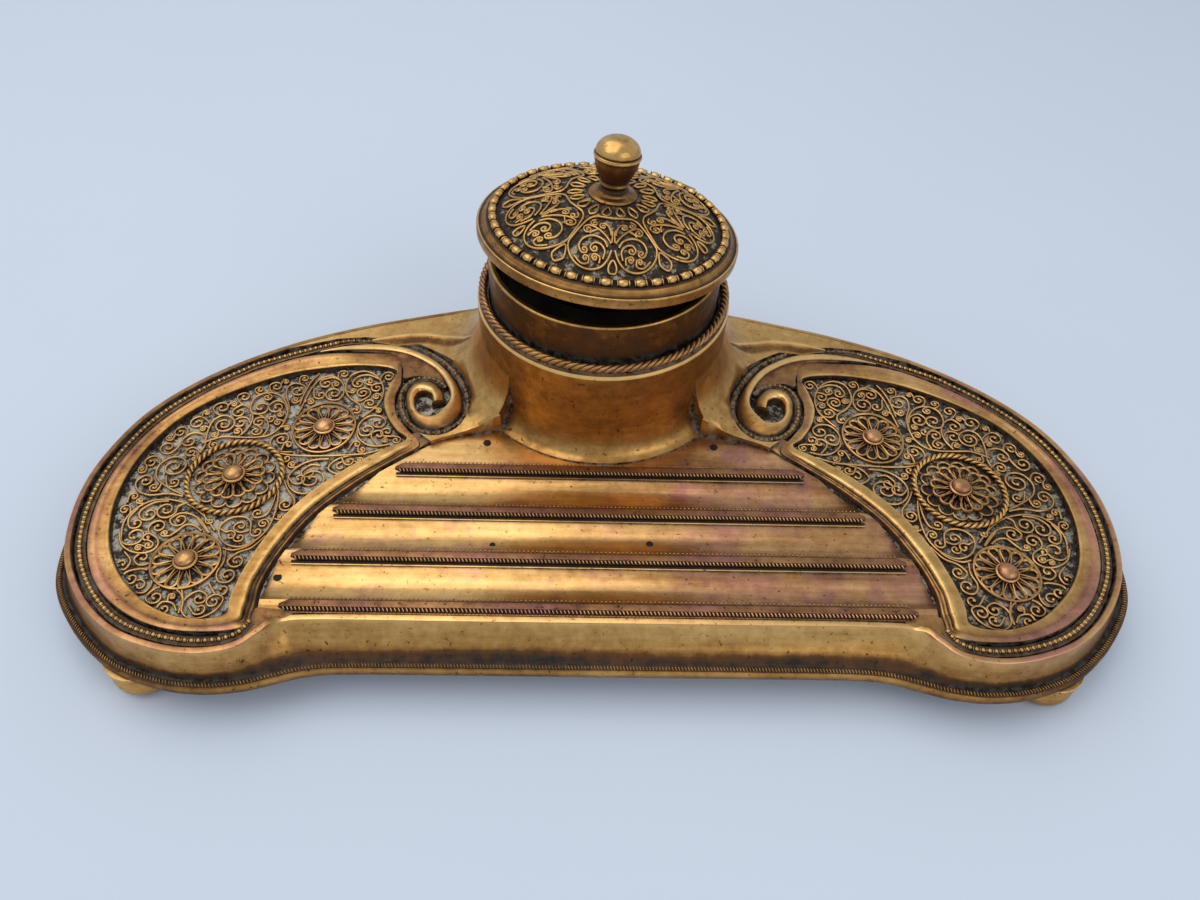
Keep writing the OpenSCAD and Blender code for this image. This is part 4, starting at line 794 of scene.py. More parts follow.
def worn_metal(
    name,
    wear_and_shade="wear_and_shade",
    lift=0.0,
    copper=0.0,
    residue=0.0,
    clouds=0.5,
    grime_and_shade=1.1,
    reach=2.5,
    streaks=0.0,
    rough=0.34,
    bands=None,
):
    """Gilding worn to brown, copper and black, with painted shade from ambient occlusion in
    recesses and between parts. The base tone is an attribute's name or a number, and bands gives
    that tone a further part from the finish's own coordinates, painted light and shade among it."""
    f = Finish(name)
    level = f.attribute(wear_and_shade) if isinstance(wear_and_shade, str) else wear_and_shade
    cloud = f.noise(38, 6)
    grain = f.noise(330, 5, shift=3.0)
    specks = f.noise(900, 3, shift=7.0)
    tone = f.math("ADD", f.math("MULTIPLY_ADD", cloud, clouds, -clouds / 2), level)
    tone = f.math("ADD", tone, f.math("MULTIPLY_ADD", grain, 0.5, -0.25 + lift))
    if streaks:
        brushed = f.noise(60, 5, stretch=(0.5, 7, 7), shift=1.0)
        tone = f.math("ADD", tone, f.math("MULTIPLY_ADD", brushed, streaks, -streaks / 2))
    if bands:
        tone = f.math("ADD", tone, bands(f))
    # Painted shade: ambient occlusion darkens the tone in recesses, under parts and between them,
    # standing for the shade there as well as dirt.
    open_share = f.openness(reach)
    shade = f.math("MULTIPLY_ADD", open_share, grime_and_shade, -grime_and_shade * 0.82)
    tone = f.math("ADD", tone, f.math("MINIMUM", shade, 0.06), clamp=True)
    speck = f.band(specks, 0.62, 0.72, 0.0, -0.35)
    tone = f.math("ADD", tone, speck, clamp=True)
    gilded = f.ramp(tone, (0.0, BLACK), (1.0, GOLD_LIGHT), (0.3, BROWN), (0.58, GOLD))
    red = f.ramp(tone, (0.0, BLACK), (1.0, COPPER), (0.32, COPPER_DARK))
    patches = f.band(f.noise(55, 4, shift=11.0), 0.42, 0.6)
    if callable(copper):
        copper = copper(f)
    share = f.math("MAXIMUM", f.attribute("copper"), copper)
    reddened = f.math("MULTIPLY", f.math("MULTIPLY_ADD", patches, 0.6, 0.4), share)
    colour = f.mix(reddened, gilded, red)
    metallic = f.band(tone, 0.02, 0.35, 0.55, 1.0)
    gloss = f.band(tone, 0.1, 0.8, rough + 0.16, rough - 0.08)
    gloss = f.math("MULTIPLY_ADD", specks, 0.12, gloss)
    if residue:
        closed = f.band(open_share, 0.55, 0.8, 1.0, 0.0)
        crumbs = f.band(f.noise(420, 6, shift=5.0, roughness=0.75), 0.42, 0.56)
        dirt = f.math("MULTIPLY", f.math("MULTIPLY", closed, crumbs), residue, clamp=True)
        colour = f.mix(dirt, colour, RESIDUE)
        metallic = f.math("MULTIPLY", metallic, f.math("SUBTRACT", 1.0, dirt))
        gloss = f.math("ADD", gloss, f.math("MULTIPLY", dirt, 0.4))
    f.feed("Base Color", colour)
    f.feed("Metallic", metallic)
    f.feed("Roughness", gloss)
    f.bump(f.math("MULTIPLY_ADD", grain, 0.7, f.math("MULTIPLY", specks, 0.3)), 0.05)
    return f.material


def channel_bands(f):
    """Light and dark along each pen channel, from the rail's shadow to the next rail, and the
    tray's right side duller than its left."""
    pitch = (RAIL_YS[0] - RAIL_YS[1]) * MM
    u = f.math("DIVIDE", f.math("SUBTRACT", RAIL_YS[0] * MM, f.axis("Y")), pitch)
    u = f.math("FRACT", f.math("ADD", u, 4.0))
    front = f.band(u, 0.15, 0.5, -0.1, 0.08)
    back = f.band(u, 0.6, 0.9, 0.0, -0.05)
    aside = f.band(f.axis("X"), -0.005, 0.03, 0.05, -0.17)
    return f.math("ADD", front, f.math("ADD", back, aside))


def redder_right(f):
    """Copper showing through on the right of the tray, and in patches."""
    patches = f.band(f.noise(90, 3), 0.55, 0.62, 0.0, 0.6)
    return f.math("ADD", f.band(f.axis("X"), -0.01, 0.03, 0.1, 0.75), patches)


def ground_finish(name, pale, deep, share):
    """The dull ground behind the wires: pale residue in patches on a dark bed."""
    f = Finish(name)
    patches = f.noise(380, 6, roughness=0.7)
    crumbs = f.noise(1500, 4, shift=4.0)
    mask = f.band(f.math("MULTIPLY_ADD", crumbs, 0.35, patches), share - 0.07, share + 0.09)
    bed = f.ramp(crumbs, (0.3, BLACK), (0.75, deep))
    f.feed("Base Color", f.mix(mask, bed, pale))
    f.feed("Roughness", 0.8)
    f.feed("Metallic", 0.15)
    f.bump(f.math("ADD", patches, f.math("MULTIPLY", crumbs, 0.5)), 0.25)
    return f.material


def pot_finish():
    f = Finish("ink_pot_glass")
    film = f.noise(90, 4)
    f.feed("Base Color", f.ramp(film, (0.3, screen(34, 30, 26)), (0.7, screen(64, 58, 48))))
    f.feed("Roughness", f.band(film, 0.4, 0.7, 0.06, 0.2))
    f.feed("Transmission Weight", 0.35)
    f.feed("IOR", 1.5)
    return f.material


WALL = worn_metal("wall_gilding", lift=0.05, residue=0.25, streaks=0.4)
FLANGE = worn_metal("flange_gilding", grime_and_shade=1.2, lift=-0.06, residue=0.2)
TRAY = worn_metal(
    "tray_gilding", streaks=0.8, copper=redder_right, bands=channel_bands, clouds=0.55, reach=3.0,
    residue=0.4, lift=0.1,
)  # fmt: skip
RAIL = worn_metal("rail_copper", copper=0.75, clouds=0.5, streaks=0.3)
RAIL_MILLING = worn_metal("rail_milling_copper", wear_and_shade=0.8, copper=0.3, grime_and_shade=0.9, reach=0.7)
# Brighter and redder than the other rails' milling: redder copper, and a painted highlight.
FRONT_RAIL_MILLING = worn_metal(
    "front_rail_milling_copper", wear_and_shade=0.95, copper=1.0, clouds=0.9, grime_and_shade=0.8, reach=0.7
)
MILLING = worn_metal("milling_brass", wear_and_shade=0.5, clouds=0.6, grime_and_shade=1.3, reach=0.8)
FRAME = worn_metal("frame_gilding", clouds=1.0, lift=0.03, residue=0.25, streaks=0.3)
VOLUTE = worn_metal("volute_gilding", clouds=0.36, lift=0.02, residue=0.25)
BEADS_BED = worn_metal("bead_bed_brass", lift=-0.1, residue=0.35, grime_and_shade=1.3)
BEADS = worn_metal("bead_brass", wear_and_shade=0.66, clouds=0.6, grime_and_shade=1.3, reach=1.2, residue=0.3)
SCROLL_BEADS = worn_metal(
    "scroll_bead_brass", wear_and_shade=0.42, clouds=0.6, grime_and_shade=1.2, reach=1.6, residue=1.0
)
WIRES = worn_metal("wire_gilding", wear_and_shade=0.72, clouds=0.8, copper=0.15, grime_and_shade=1.2, reach=1.3)
ROSETTE = worn_metal("rosette_gilding", wear_and_shade=0.64, copper=0.22, clouds=0.4, reach=1.4)
BOSS = worn_metal("boss_copper", copper=0.7, clouds=0.6, lift=-0.1)
ROPE = worn_metal("rope_gilding", wear_and_shade=0.68, clouds=0.4, grime_and_shade=1.3, reach=1.3)
MOUTH_ROPE = worn_metal(
    "mouth_rope_gilding", wear_and_shade=0.55, clouds=0.8, copper=0.35, grime_and_shade=1.6, reach=1.3
)
DRUM = worn_metal("drum_patina", lift=0.0, residue=0.6, clouds=0.8, streaks=0.3)
# Material of the strip that carries the painted shadow in front of each rail
RAIL_SHADOW_STRIP = worn_metal("channel_edge_gilding", clouds=0.5, streaks=0.4)
SLEEVE = worn_metal("sleeve_patina", lift=-0.27, residue=0.2, clouds=0.7)
SADDLE = worn_metal("saddle_gilding", clouds=0.6, residue=0.5, reach=3.0)
LID = worn_metal("lid_patina", lift=-0.1, clouds=0.45)
LID_WIRES = worn_metal("lid_wire_gilding", wear_and_shade=0.7, clouds=0.6, grime_and_shade=1.1, reach=1.2)
KNOB = worn_metal("knob_gilding", lift=-0.05, clouds=0.8, rough=0.3)
LID_BEADS = worn_metal("lid_bead_gilding", wear_and_shade=0.78, clouds=0.4, grime_and_shade=1.4, reach=1.4)
PINS = worn_metal("pin_iron", lift=-0.1, clouds=0.3)
FITTINGS = worn_metal("fitting_brass", wear_and_shade=0.35, clouds=0.4)
FEET = worn_metal("foot_gilding", clouds=0.5)
GROUND_LEFT = ground_finish("wing_ground_left", screen(196, 187, 168), screen(66, 52, 38), 0.67)
GROUND_RIGHT = ground_finish("wing_ground_right", screen(170, 160, 142), screen(56, 44, 32), 0.72)
LID_GROUND = ground_finish("lid_ground", screen(172, 160, 134), screen(58, 42, 26), 0.75)
GLASS = pot_finish()

WIRE_TREE = wire_tree()
BEAD_TREE = bead_tree()
PETAL_TREE = petal_tree()
RING_ROPE_TREE = rope_tree(2)
MOUTH_ROPE_TREE = rope_tree(3)


# Stand


# The flange is duller at the stand's sides, from one distance from the middle over another
SIDE_FROM, SIDE_OVER = 70, 40
# The rim steps down in front of the tray, from one distance from the middle over another
STEP_FROM, STEP_OVER = 71, 3.4
EDGE_EASE = 0.22


def make_base():
    """The base plate with its rolled edge, and the recess underneath."""
    roll = [(-1.1, 0.0), (-0.5, -0.1), (-0.15, -0.45), (0, -1.0), (0, -1.9), (-0.2, -2.5)]
    levels = [(-9.0, BASE_Z)] + [(out, BASE_Z + z) for out, z in roll]
    levels += [(-0.7, FOOT_H + 0.15), (-1.4, FOOT_H), (-6.0, FOOT_H), (-6.2, FOOT_H + 1)]
    # Painted shadow line: the flange top stays near black from under the wall's foot out to the
    # rolled edge.
    tones = [0.0, 0.1, 0.45, 0.66, 0.55, 0.4, 0.4, 0.4, 0.3, 0.2, 0.1]
    loops = [at_height(FLANGE_EDGE + OUTWARD * out, z) for out, z in levels]
    n = len(FLANGE_EDGE)
    points = np.vstack(loops)
    faces = [
        (i * n + j, i * n + (j + 1) % n, (i + 1) * n + (j + 1) % n, (i + 1) * n + j)
        for i in range(len(levels) - 1)
        for j in range(n)
    ]
    faces += [tuple(range(n)), tuple(range((len(levels) - 1) * n, len(levels) * n))]
    duller = 0.45 * np.clip((np.abs(FLANGE_EDGE[:, 0]) - SIDE_FROM) / SIDE_OVER, 0, 1)
    wear_and_shade = np.outer(tones, 1 - duller).ravel()
    pad = [(0, FOOT_H), (PAD_R, FOOT_H), (PAD_R, FOOT_H + 1.2), (0, FOOT_H + 1.2)]
    pads = [turned(pad, 48, 0.2, centre=place) for place in FOOT_PLACES]
    mesh = solid_mesh("base_plate", *reduce(added, pads, (points, faces, wear_and_shade)))
    piece("base_plate_finish", mesh, FLANGE, "stand", ["base_plate"])


def make_wall():
    """The coved wall with painted light and shade: bright at its top edge, brown in the cove and a
    black painted shadow line at its foot.
    """
    cove = open_curve([(0, 0), (0.3, 0.14), (0.62, 0.38), (0.86, 0.68), (1, 1)], 4)
    cove[-1] = (0.985, 0.985)
    # Painted shade: the tone falls from the bright top of the cove to black at its foot.
    tone = np.interp(cove[:, 1], [0, 0.1, 0.24, 0.6, 0.9, 1], [0, 0.04, 0.46, 0.62, 0.74, 1])
    x, y = np.abs(TOP_EDGE[:, 0]), TOP_EDGE[:, 1]
    t = np.clip((x - STEP_FROM) / STEP_OVER, 0, 1)
    t = np.where(y > 0, 1, t * t * (3 - 2 * t))
    tops = TRAY_Z + (RIM_Z - TRAY_Z) * t
    rows, copper = [], []
    for foot, top, within, out, z in zip(WALL_FOOT, TOP_EDGE, WALL_INSIDE, OUTWARD, tops):
        side = [(*(foot + (top - foot) * c[0]), BASE_Z + (z - BASE_Z) * c[1]) for c in cove]
        lip = [
            (*(top - out * EDGE_EASE), z),
            (*(within + out * EDGE_EASE), z),
            (*within, z - EDGE_EASE),
            (*within, BASE_Z),
        ]
        rows.append(side + lip)
        reddened = 0.85 if z > RIM_Z - 0.2 else 0.15
        strength = reddened * np.clip((60 - top[1]) / 70, 0.25, 1)
        copper.append([strength * 0.12] * (len(cove) - 2) + [strength] * 2 + [strength] * 4)
    wear_and_shade = []
    for t_here, top in zip(t, TOP_EDGE):
        dull = 0.22 * t_here * (1 if top[0] < 0 else 0.3)
        wear_and_shade.append(np.concatenate([tone[:-1], [1 - dull, 0.8 - dull, 0.6 - dull, 0.15, 0.0]]))
    points, faces = loft(rows, True)
    mesh = solid_mesh("wall_band", points, faces, np.ravel(wear_and_shade), np.ravel(copper))
    piece("wall_finish", mesh, WALL, "stand", ["wall_band"])


def make_flange_milling():
    """A row of small cuts along the flange, round the foot of the wall."""
    line = FLANGE_EDGE - OUTWARD * MILLING_INSET
    shape = [(-0.6, 0), (0.6, 0), (0.5, 0.2), (-0.5, 0.2)]
    rows = [[(*(p + o * w), BASE_Z + h) for w, h in shape] for p, o in zip(line, OUTWARD)]
    bed = solid_mesh("milling_bed", *loft(rows, True), wear_and_shade=0.15)
    piece("flange_milling_bed", bed, FLANGE, "stand")
    path = at_height(line, BASE_Z + 0.12)
    cuts = bead_row(path, 900, (0.4, 1.3, 0.9), MILLING, closed=True, slant=0.4)
    piece("flange_milling", cuts, MILLING, "stand", ["base_milling"], 0)


# Section of a rail: across, and height over the tray
RAIL_SECTION = [
    (-1.5, 0), (-1.5, 0.3), (-0.95, 0.55), (-0.7, 0.98), (1.0, 0.98), (1.5, 0.45), (1.5, 0),
]  # fmt: skip
RAIL_TAPER = 2.2
RAIL_TIP_W = 0.35


def rail_line(end, y, height):
    """Points from end to end beside a rail, at a height over the tray."""
    return [(x, y, TRAY_Z + height) for x in np.linspace(-end, end, 40)]


def make_rails():
    """Four copper rails with a row of milling along their front edge. Each has a black line in
    front of it, a painted shadow, with a bright edge at the line's front, and a row of fine dots
    behind."""
    section = rounded(RAIL_SECTION, 0.25, 2)
    # Black down the rail's front face, under its milling: painted shade.
    tone = np.where(section[:, 1] > 0.8, 0.42, np.where(section[:, 0] > 1.2, 0.28, 0.05))
    for number, y in enumerate(RAIL_YS, 1):
        node = f"pen_rail_{number}"
        last = number == len(RAIL_YS)
        end = edge_x(y) - RAIL_END_GAP - (FRONT_RAIL_CUT if last else 0)
        rows = []
        for x in np.linspace(-1, 1, 61):
            taper = np.clip((1 - abs(x)) * end / RAIL_TAPER, 0, 1) ** 0.5
            width = RAIL_TIP_W + (1 - RAIL_TIP_W) * taper
            rows.append([(x * end, y + v * width, TRAY_Z - 0.02 + h * taper) for v, h in section])
        points, faces = loft(rows, False)
        mesh = solid_mesh(f"rail_{number}", points, faces, np.tile(tone, len(rows)), 1.0)
        piece(node + "_finish", mesh, RAIL, "stand", [node])
        milling = FRONT_RAIL_MILLING if last else RAIL_MILLING
        path = rail_line(end - 1.6, y - 1.12, 0.66)
        cuts = bead_row(path, int(2 * end / CUT_PITCH), (0.44, 1.3, 0.9), milling, slant=0.5)
        piece(node + "_milling", cuts, milling, "stand", angle=0)
        # A thin strip on the tray in front of the rail: black next to the rail, a painted shadow,
        # and bright along its front edge.
        edge = -1.7 if last else -2.6
        shape = [
            (edge, 0), (edge, 0.03), (edge + 0.25, 0.06), (edge + 0.35, 0.04), (-1.4, 0.04),
            (-1.4, 0),
        ]  # fmt: skip
        rows = [[(x, y + v, z + h) for v, h in shape] for x, _, z in rail_line(end - 0.6, y, -0.01)]
        wear_and_shade = np.tile([0.6, 0.66, 0.84, 0.1, 0.0, 0.0], len(rows))
        line = solid_mesh("line", *loft(rows, False), wear_and_shade)
        piece(f"channel_edge_{number}", line, RAIL_SHADOW_STRIP, "stand")
        path = rail_line(end - 2.5, y + 2.15, 0.02)
        dots = bead_row(path, int(2 * end / DOT_PITCH), (0.5, 0.5, 0.3), BEADS)
        piece(f"channel_dots_{number}", dots, BEADS, "stand", angle=0)


# Sections of a wing's frame, as share across, level under the rim, tone and redness: round the
# rim, where the volute takes over the ridge, and beside the tray with its two fine lines. The tone
# is rubbing and dark hollows, with painted highlights just inside the band's edges
RIM_SECTION = [
    (0, -0.5, 0.2, 1), (0.04, -0.1, 0.55, 1), (0.1, 0, 0.68, 1), (0.3, -0.04, 0.62, 1),
    (0.4, -0.16, 0.52, 1), (0.46, -0.24, 0.5, 0.8), (0.55, -0.3, 0.56, 0.5),
    (0.7, -0.38, 0.6, 0.2), (0.84, -0.42, 0.6, 0.1), (0.93, -0.42, 0.7, 0.1),
    (0.98, -0.6, 0.4, 0.1), (1, -1.3, 0.1, 0),
]  # fmt: skip
VOLUTE_SECTION = [
    (0, -0.5, 0.2, 1), (0.04, -0.34, 0.34, 1), (0.1, -0.32, 0.36, 1), (0.3, -0.4, 0.38, 1),
    (0.4, -0.44, 0.4, 1), (0.5, -0.5, 0.42, 1), (0.6, -0.56, 0.46, 0.8), (0.72, -0.6, 0.54, 0.5),
    (0.84, -0.58, 0.64, 0.3), (0.93, -0.54, 0.78, 0.2), (0.98, -0.7, 0.4, 0), (1, -1.3, 0.1, 0),
]  # fmt: skip
TRAY_SECTION = [
    (0, -1.2, 0.05, 0.5), (0.04, -0.8, 0.3, 0.5), (0.1, -0.72, 0.44, 0.5), (0.16, -0.98, 0.1, 0.5),
    (0.23, -0.72, 0.44, 0.5), (0.29, -0.95, 0.08, 0.3), (0.35, -0.3, 0.6, 0), (0.41, -0.1, 0.76, 0),
    (0.6, -0.18, 0.6, 0), (0.86, -0.2, 0.6, 0), (0.95, -0.24, 0.78, 0), (1, -1.3, 0.1, 0),
]  # fmt: skip


def frame_shares(p):
    """How far the frame follows its volute section and its tray section at a point."""
    x, y = p
    front = np.clip((-y - 1) / 5, 0, 1)
    volute = np.clip((78 - x) / 8, 0, 1) * (1 - front)
    return volute, front * np.clip((79.3 - x) / 1.6, 0, 1)


# Old pin holes in the tray, with their radii
TRAY_HOLES = [(11.8, -30, 0.85), (-75.4, -41.2, 0.95), (-26.3, -31.1, 0.7)]


def make_tray_holes():
    """The holes of lost pins, as flat black discs: painted shade for the inside of each hole."""
    height = height_over("pen_tray")
    discs = []
    for x, y, r in TRAY_HOLES:
        low, high = height(x, y) - 0.3, height(x, y) + 0.12
        profile = [(0, low), (r, low), (r, high), (0, high)]
        discs.append(turned(profile, 20, 0.02, centre=(x, y), tone=lambda s: 0 * s[:, 0]))
    mesh = solid_mesh("tray_holes", *reduce(added, discs))
    piece("tray_pin_holes", mesh, PINS, "stand")


def make_wing_frame(word, side):
    """The frame round the filigree: copper at its outer edge and gold towards the wires."""
    rim, scroll, tray = (np.array(s) for s in (RIM_SECTION, VOLUTE_SECTION, TRAY_SECTION))
    rows, wear_and_shade, copper = [], [], []
    for a, b in zip(FRAME_OUTER, FRAME_INNER):
        by_scroll, by_tray = frame_shares(a)
        section = rim * (1 - by_scroll - by_tray) + scroll * by_scroll + tray * by_tray
        row = [(*flipped(a + (b - a) * q, side), RIM_Z + z) for q, z, _, _ in section]
        rows.append([(*flipped(a, side), PANEL_Z)] + row + [(*flipped(b, side), PANEL_Z)])
        red = (0.95 if a[0] > 80 else 0.4) * (1.0 if side > 0 else 0.8)
        dull = 0.1 if side < 0 and a[0] > 85 else 0
        wear_and_shade.append([0, *(section[:, 2] - dull), 0])
        copper.append([0, *section[:, 3] * red, 0])
    points, faces = loft(rows, True)
    mesh = solid_mesh("frame", points, faces, np.ravel(wear_and_shade), np.ravel(copper))
    node = f"wing_frame_{word}"
    piece(node + "_finish", mesh, FRAME, "stand", [node])


# Outlines of the small plates that close the stand between the wall, a wing and the tray
CORNER_PLATE = [
    (69.8, -52.2), (72.6, -52.9), (73.8, -53.8), (74.6, -55), (76.4, -57.4), (78.6, -59.2),
    (82.8, -60.4), (84, -57), (79.6, -56.4), (78.2, -53.6), (77.7, -50.6), (74, -50.7),
    (69.8, -50.8),
]  # fmt: skip
SCROLL_PLATE = [
    (36.5, 4.6), (43, 2.2), (48.5, -2.8), (51, -3), (50.4, 2.4), (46, 5.2), (41, 6.4),
]  # fmt: skip


def make_corner_plates(word, side):
    """The plates at the tray's front corner and under the turn of the volute."""
    foot = TRAY_Z + 0.04
    for name, outline, level in (
        ("corner", CORNER_PLATE, RIM_Z - 0.95),
        ("scroll", SCROLL_PLATE, RIM_Z - 0.9),
    ):
        edge = closed_curve(outline, 3)
        middle = edge.mean(0)
        rows = []
        for p in edge:
            share = np.clip((p[0] - 70.5) / 4.5, 0, 1) if name == "corner" else 1
            top = foot + (level - foot) * share
            levels = [(0.05, PANEL_Z), (0.05, level), (0.9, top), (1, top - 0.08), (1, PANEL_Z)]
            rows.append([(*flipped(middle + (p - middle) * q, side), z) for q, z in levels])
        points, faces = loft(rows, True)
        starts = [k * 5 for k in range(len(rows))]
        faces += [tuple(k + 1 for k in starts), tuple(starts)]
        faces = [f for f in faces if not (len(f) == 4 and {k % 5 for k in f} == {0, 1})]
        mesh = solid_mesh("plate", points, faces, 0.42, 0.3)
        piece(f"{name}_plate_{word}", mesh, SADDLE, "stand")


def make_beading(word, side):
    """The bead-and-reel strip: a low bed with its beads."""
    path = strip_path()
    shape = [
        (1.5, PANEL_Z), (1.5, RIM_Z - 1.25), (1.3, RIM_Z - 0.8), (0.9, RIM_Z - 0.66),
        (-0.9, RIM_Z - 0.66), (-1.3, RIM_Z - 0.8), (-1.5, RIM_Z - 1.25), (-1.5, PANEL_Z),
    ]  # fmt: skip
    tone = [0, 0.1, 0.5, 0.25, 0.25, 0.5, 0.1, 0]
    rows = []
    for p, a in zip(path, rightward(path)):
        narrow = 0.68 + 0.32 * np.clip((p[0] - 68) / 14, 0, 1)
        rows.append([(*flipped(p + a * BEAD_HALF_W * w * narrow, side), z) for w, z in shape])
    points, faces = loft(rows, False)
    mesh = solid_mesh("strip", points, faces, np.tile(tone, len(rows)))
    node = f"wing_beading_{word}"
    piece(f"wing_strip_{word}_finish", mesh, BEADS_BED, "stand", [node])
    turn = int(np.argmax(path[:, 0] < 76))
    for run, name, material in (
        (path[: turn + 1], "rim_beads", BEADS),
        (path[turn:], "scroll_beads", SCROLL_BEADS),
    ):
        length = np.linalg.norm(np.diff(run, axis=0), axis=1).sum()
        line = at_height(flipped(run, side), RIM_Z - 0.5)
        sizes = {"size": (1.16, 1.24, 1.1), "reel": (0.36, 1.1, 0.8)}
        beads = bead_row(line, int(length / BEAD_PITCH), material=material, places=2, **sizes)
        piece(f"wing_{name}_{word}", beads, material, "stand", angle=0)


# Directions round the volute's eye where its sweep turns into its curl, and where it rises
CURL_FROM, CURL_OVER = 90, 50
RISE_FROM, RISE_OVER = 42, 90
CREST_RISE = 0.8


def make_volute(word, side):
    """The scroll that ends a wing, with a bright rounded crest."""
    rows = []
    shape = [
        (0, PANEL_Z - RIM_Z), (0, -0.9), (0.12, -0.2), (0.35, 0.4), (0.7, 0.85), (1, 1.0),
        (1.3, 0.98), (1.6, 0.85), (1.85, 0.45), (2, -0.3), (2, PANEL_Z - RIM_Z),
    ]  # fmt: skip
    # Both tones rise from black at the foot to bright on the crest: rubbing on the crest, painted
    # shade down the slopes and at the foot.
    sweep_tone = np.array([0, 0.35, 0.5, 0.68, 0.82, 0.88, 0.9, 0.9, 0.82, 0.4, 0.1])
    curl_tone = np.array([0, 0.25, 0.38, 0.44, 0.5, 0.68, 0.86, 0.95, 0.86, 0.45, 0.1])
    wear_and_shade = []
    for angle, outer, crest, inner in VOLUTE_CURVE:
        t = np.clip((angle - CURL_FROM) / CURL_OVER, 0, 1)
        wear_and_shade.append(sweep_tone * (1 - t) + curl_tone * t)
        rise = CREST_RISE * min(1, (angle - RISE_FROM) / RISE_OVER)
        row = []
        for u, h in shape:
            r = outer + (crest - outer) * u if u <= 1 else crest + (inner - crest) * (u - 1)
            z = RIM_Z + (h if h < 0 else h * rise)
            row.append((*flipped(volute_point(angle, r), side), z))
        rows.append(row)
    points, faces = loft(rows, False)
    mesh = solid_mesh("volute", points, faces, np.ravel(wear_and_shade), 0.12)
    node = f"volute_{word}"
    piece(node + "_finish", mesh, VOLUTE, "stand", [node])


# The web's edge along the frame, then along the beads round the eye
WEB_EDGE = [
    (76, 34.4), (66, 33.7), (60, 33), (57.2, 30.6), (55.5, 26.5), (55, 23.4), (52, 24.4),
    (49, 24.2), (46, 23), (44.2, 21.2),
]  # fmt: skip


def make_web(word, side):
    """The smooth brown web that fills the turn of the volute as far as the frame."""
    sweep = [volute_point(s[0], s[3] + 0.2) for s in VOLUTE_CURVE if 36 <= s[0] <= 106]
    crest, edge = evenly(np.array(sweep), 48), evenly(open_curve(WEB_EDGE, 6), 48)
    shape = [
        (0, PANEL_Z), (0, RIM_Z - 0.15), (0.12, RIM_Z - 0.4), (0.45, RIM_Z - 0.62),
        (0.8, RIM_Z - 0.5), (1, RIM_Z - 0.34), (1, PANEL_Z),
    ]  # fmt: skip
    tone = [0, 0.2, 0.3, 0.36, 0.4, 0.38, 0.1]
    rows = [
        [(*flipped(a + (b - a) * q, side), z) for q, z in shape] for a, b in zip(crest, edge)
    ]
    points, faces = loft(rows, False)
    mesh = solid_mesh("web", points, faces, np.tile(tone, len(rows)), 0.35)
    piece(f"volute_web_{word}", mesh, VOLUTE, "stand")


# Crest of the saddle above each volute, with a painted highlight along it
CREST_LINE = [
    (66, 38.6), (61, 40.1), (55, 41.2), (49.6, 41.4), (43.7, 39.8), (39.6, 37.3), (36.6, 35.2),
]  # fmt: skip


def make_crest(word, side):
    """A bright crest along the saddle, with a brown hollow below it: a thin skin with a painted
    highlight on the crest and painted shade for the hollow.
    """
    height = height_over("shoulder_saddle")
    line = evenly(open_curve(CREST_LINE, 6), 40)
    shape = [
        (-4.2, 0.0), (-3.2, 0.05), (-1.6, 0.05), (-0.6, 0.12), (0, 0.3), (0.45, 0.14), (1.3, 0.0),
    ]  # fmt: skip
    # Painted light and shade: brightest on the crest, brown below it where the hollow's shade
    # falls.
    tone = [0.6, 0.34, 0.34, 0.55, 1.0, 0.88, 0.68]
    rows = []
    for k, (p, a) in enumerate(zip(line, rightward(line))):
        fade = min(1.0, k / 8, (len(line) - 1 - k) / 8)
        row = []
        for w, h in shape:
            x, y = flipped([p + a * w * (0.2 + 0.8 * fade)], side)[0]
            row.append((x, y, height(x, y) + h * fade))
        row += [(x, y, z - 0.8) for x, y, z in row[::-1]]
        rows.append(row)
    points, faces = loft(rows, False)
    mesh = solid_mesh("crest", points, faces, np.tile(tone + tone[::-1], len(rows)))
    piece(f"saddle_crest_{word}", mesh, SADDLE, "stand")


# Filigree

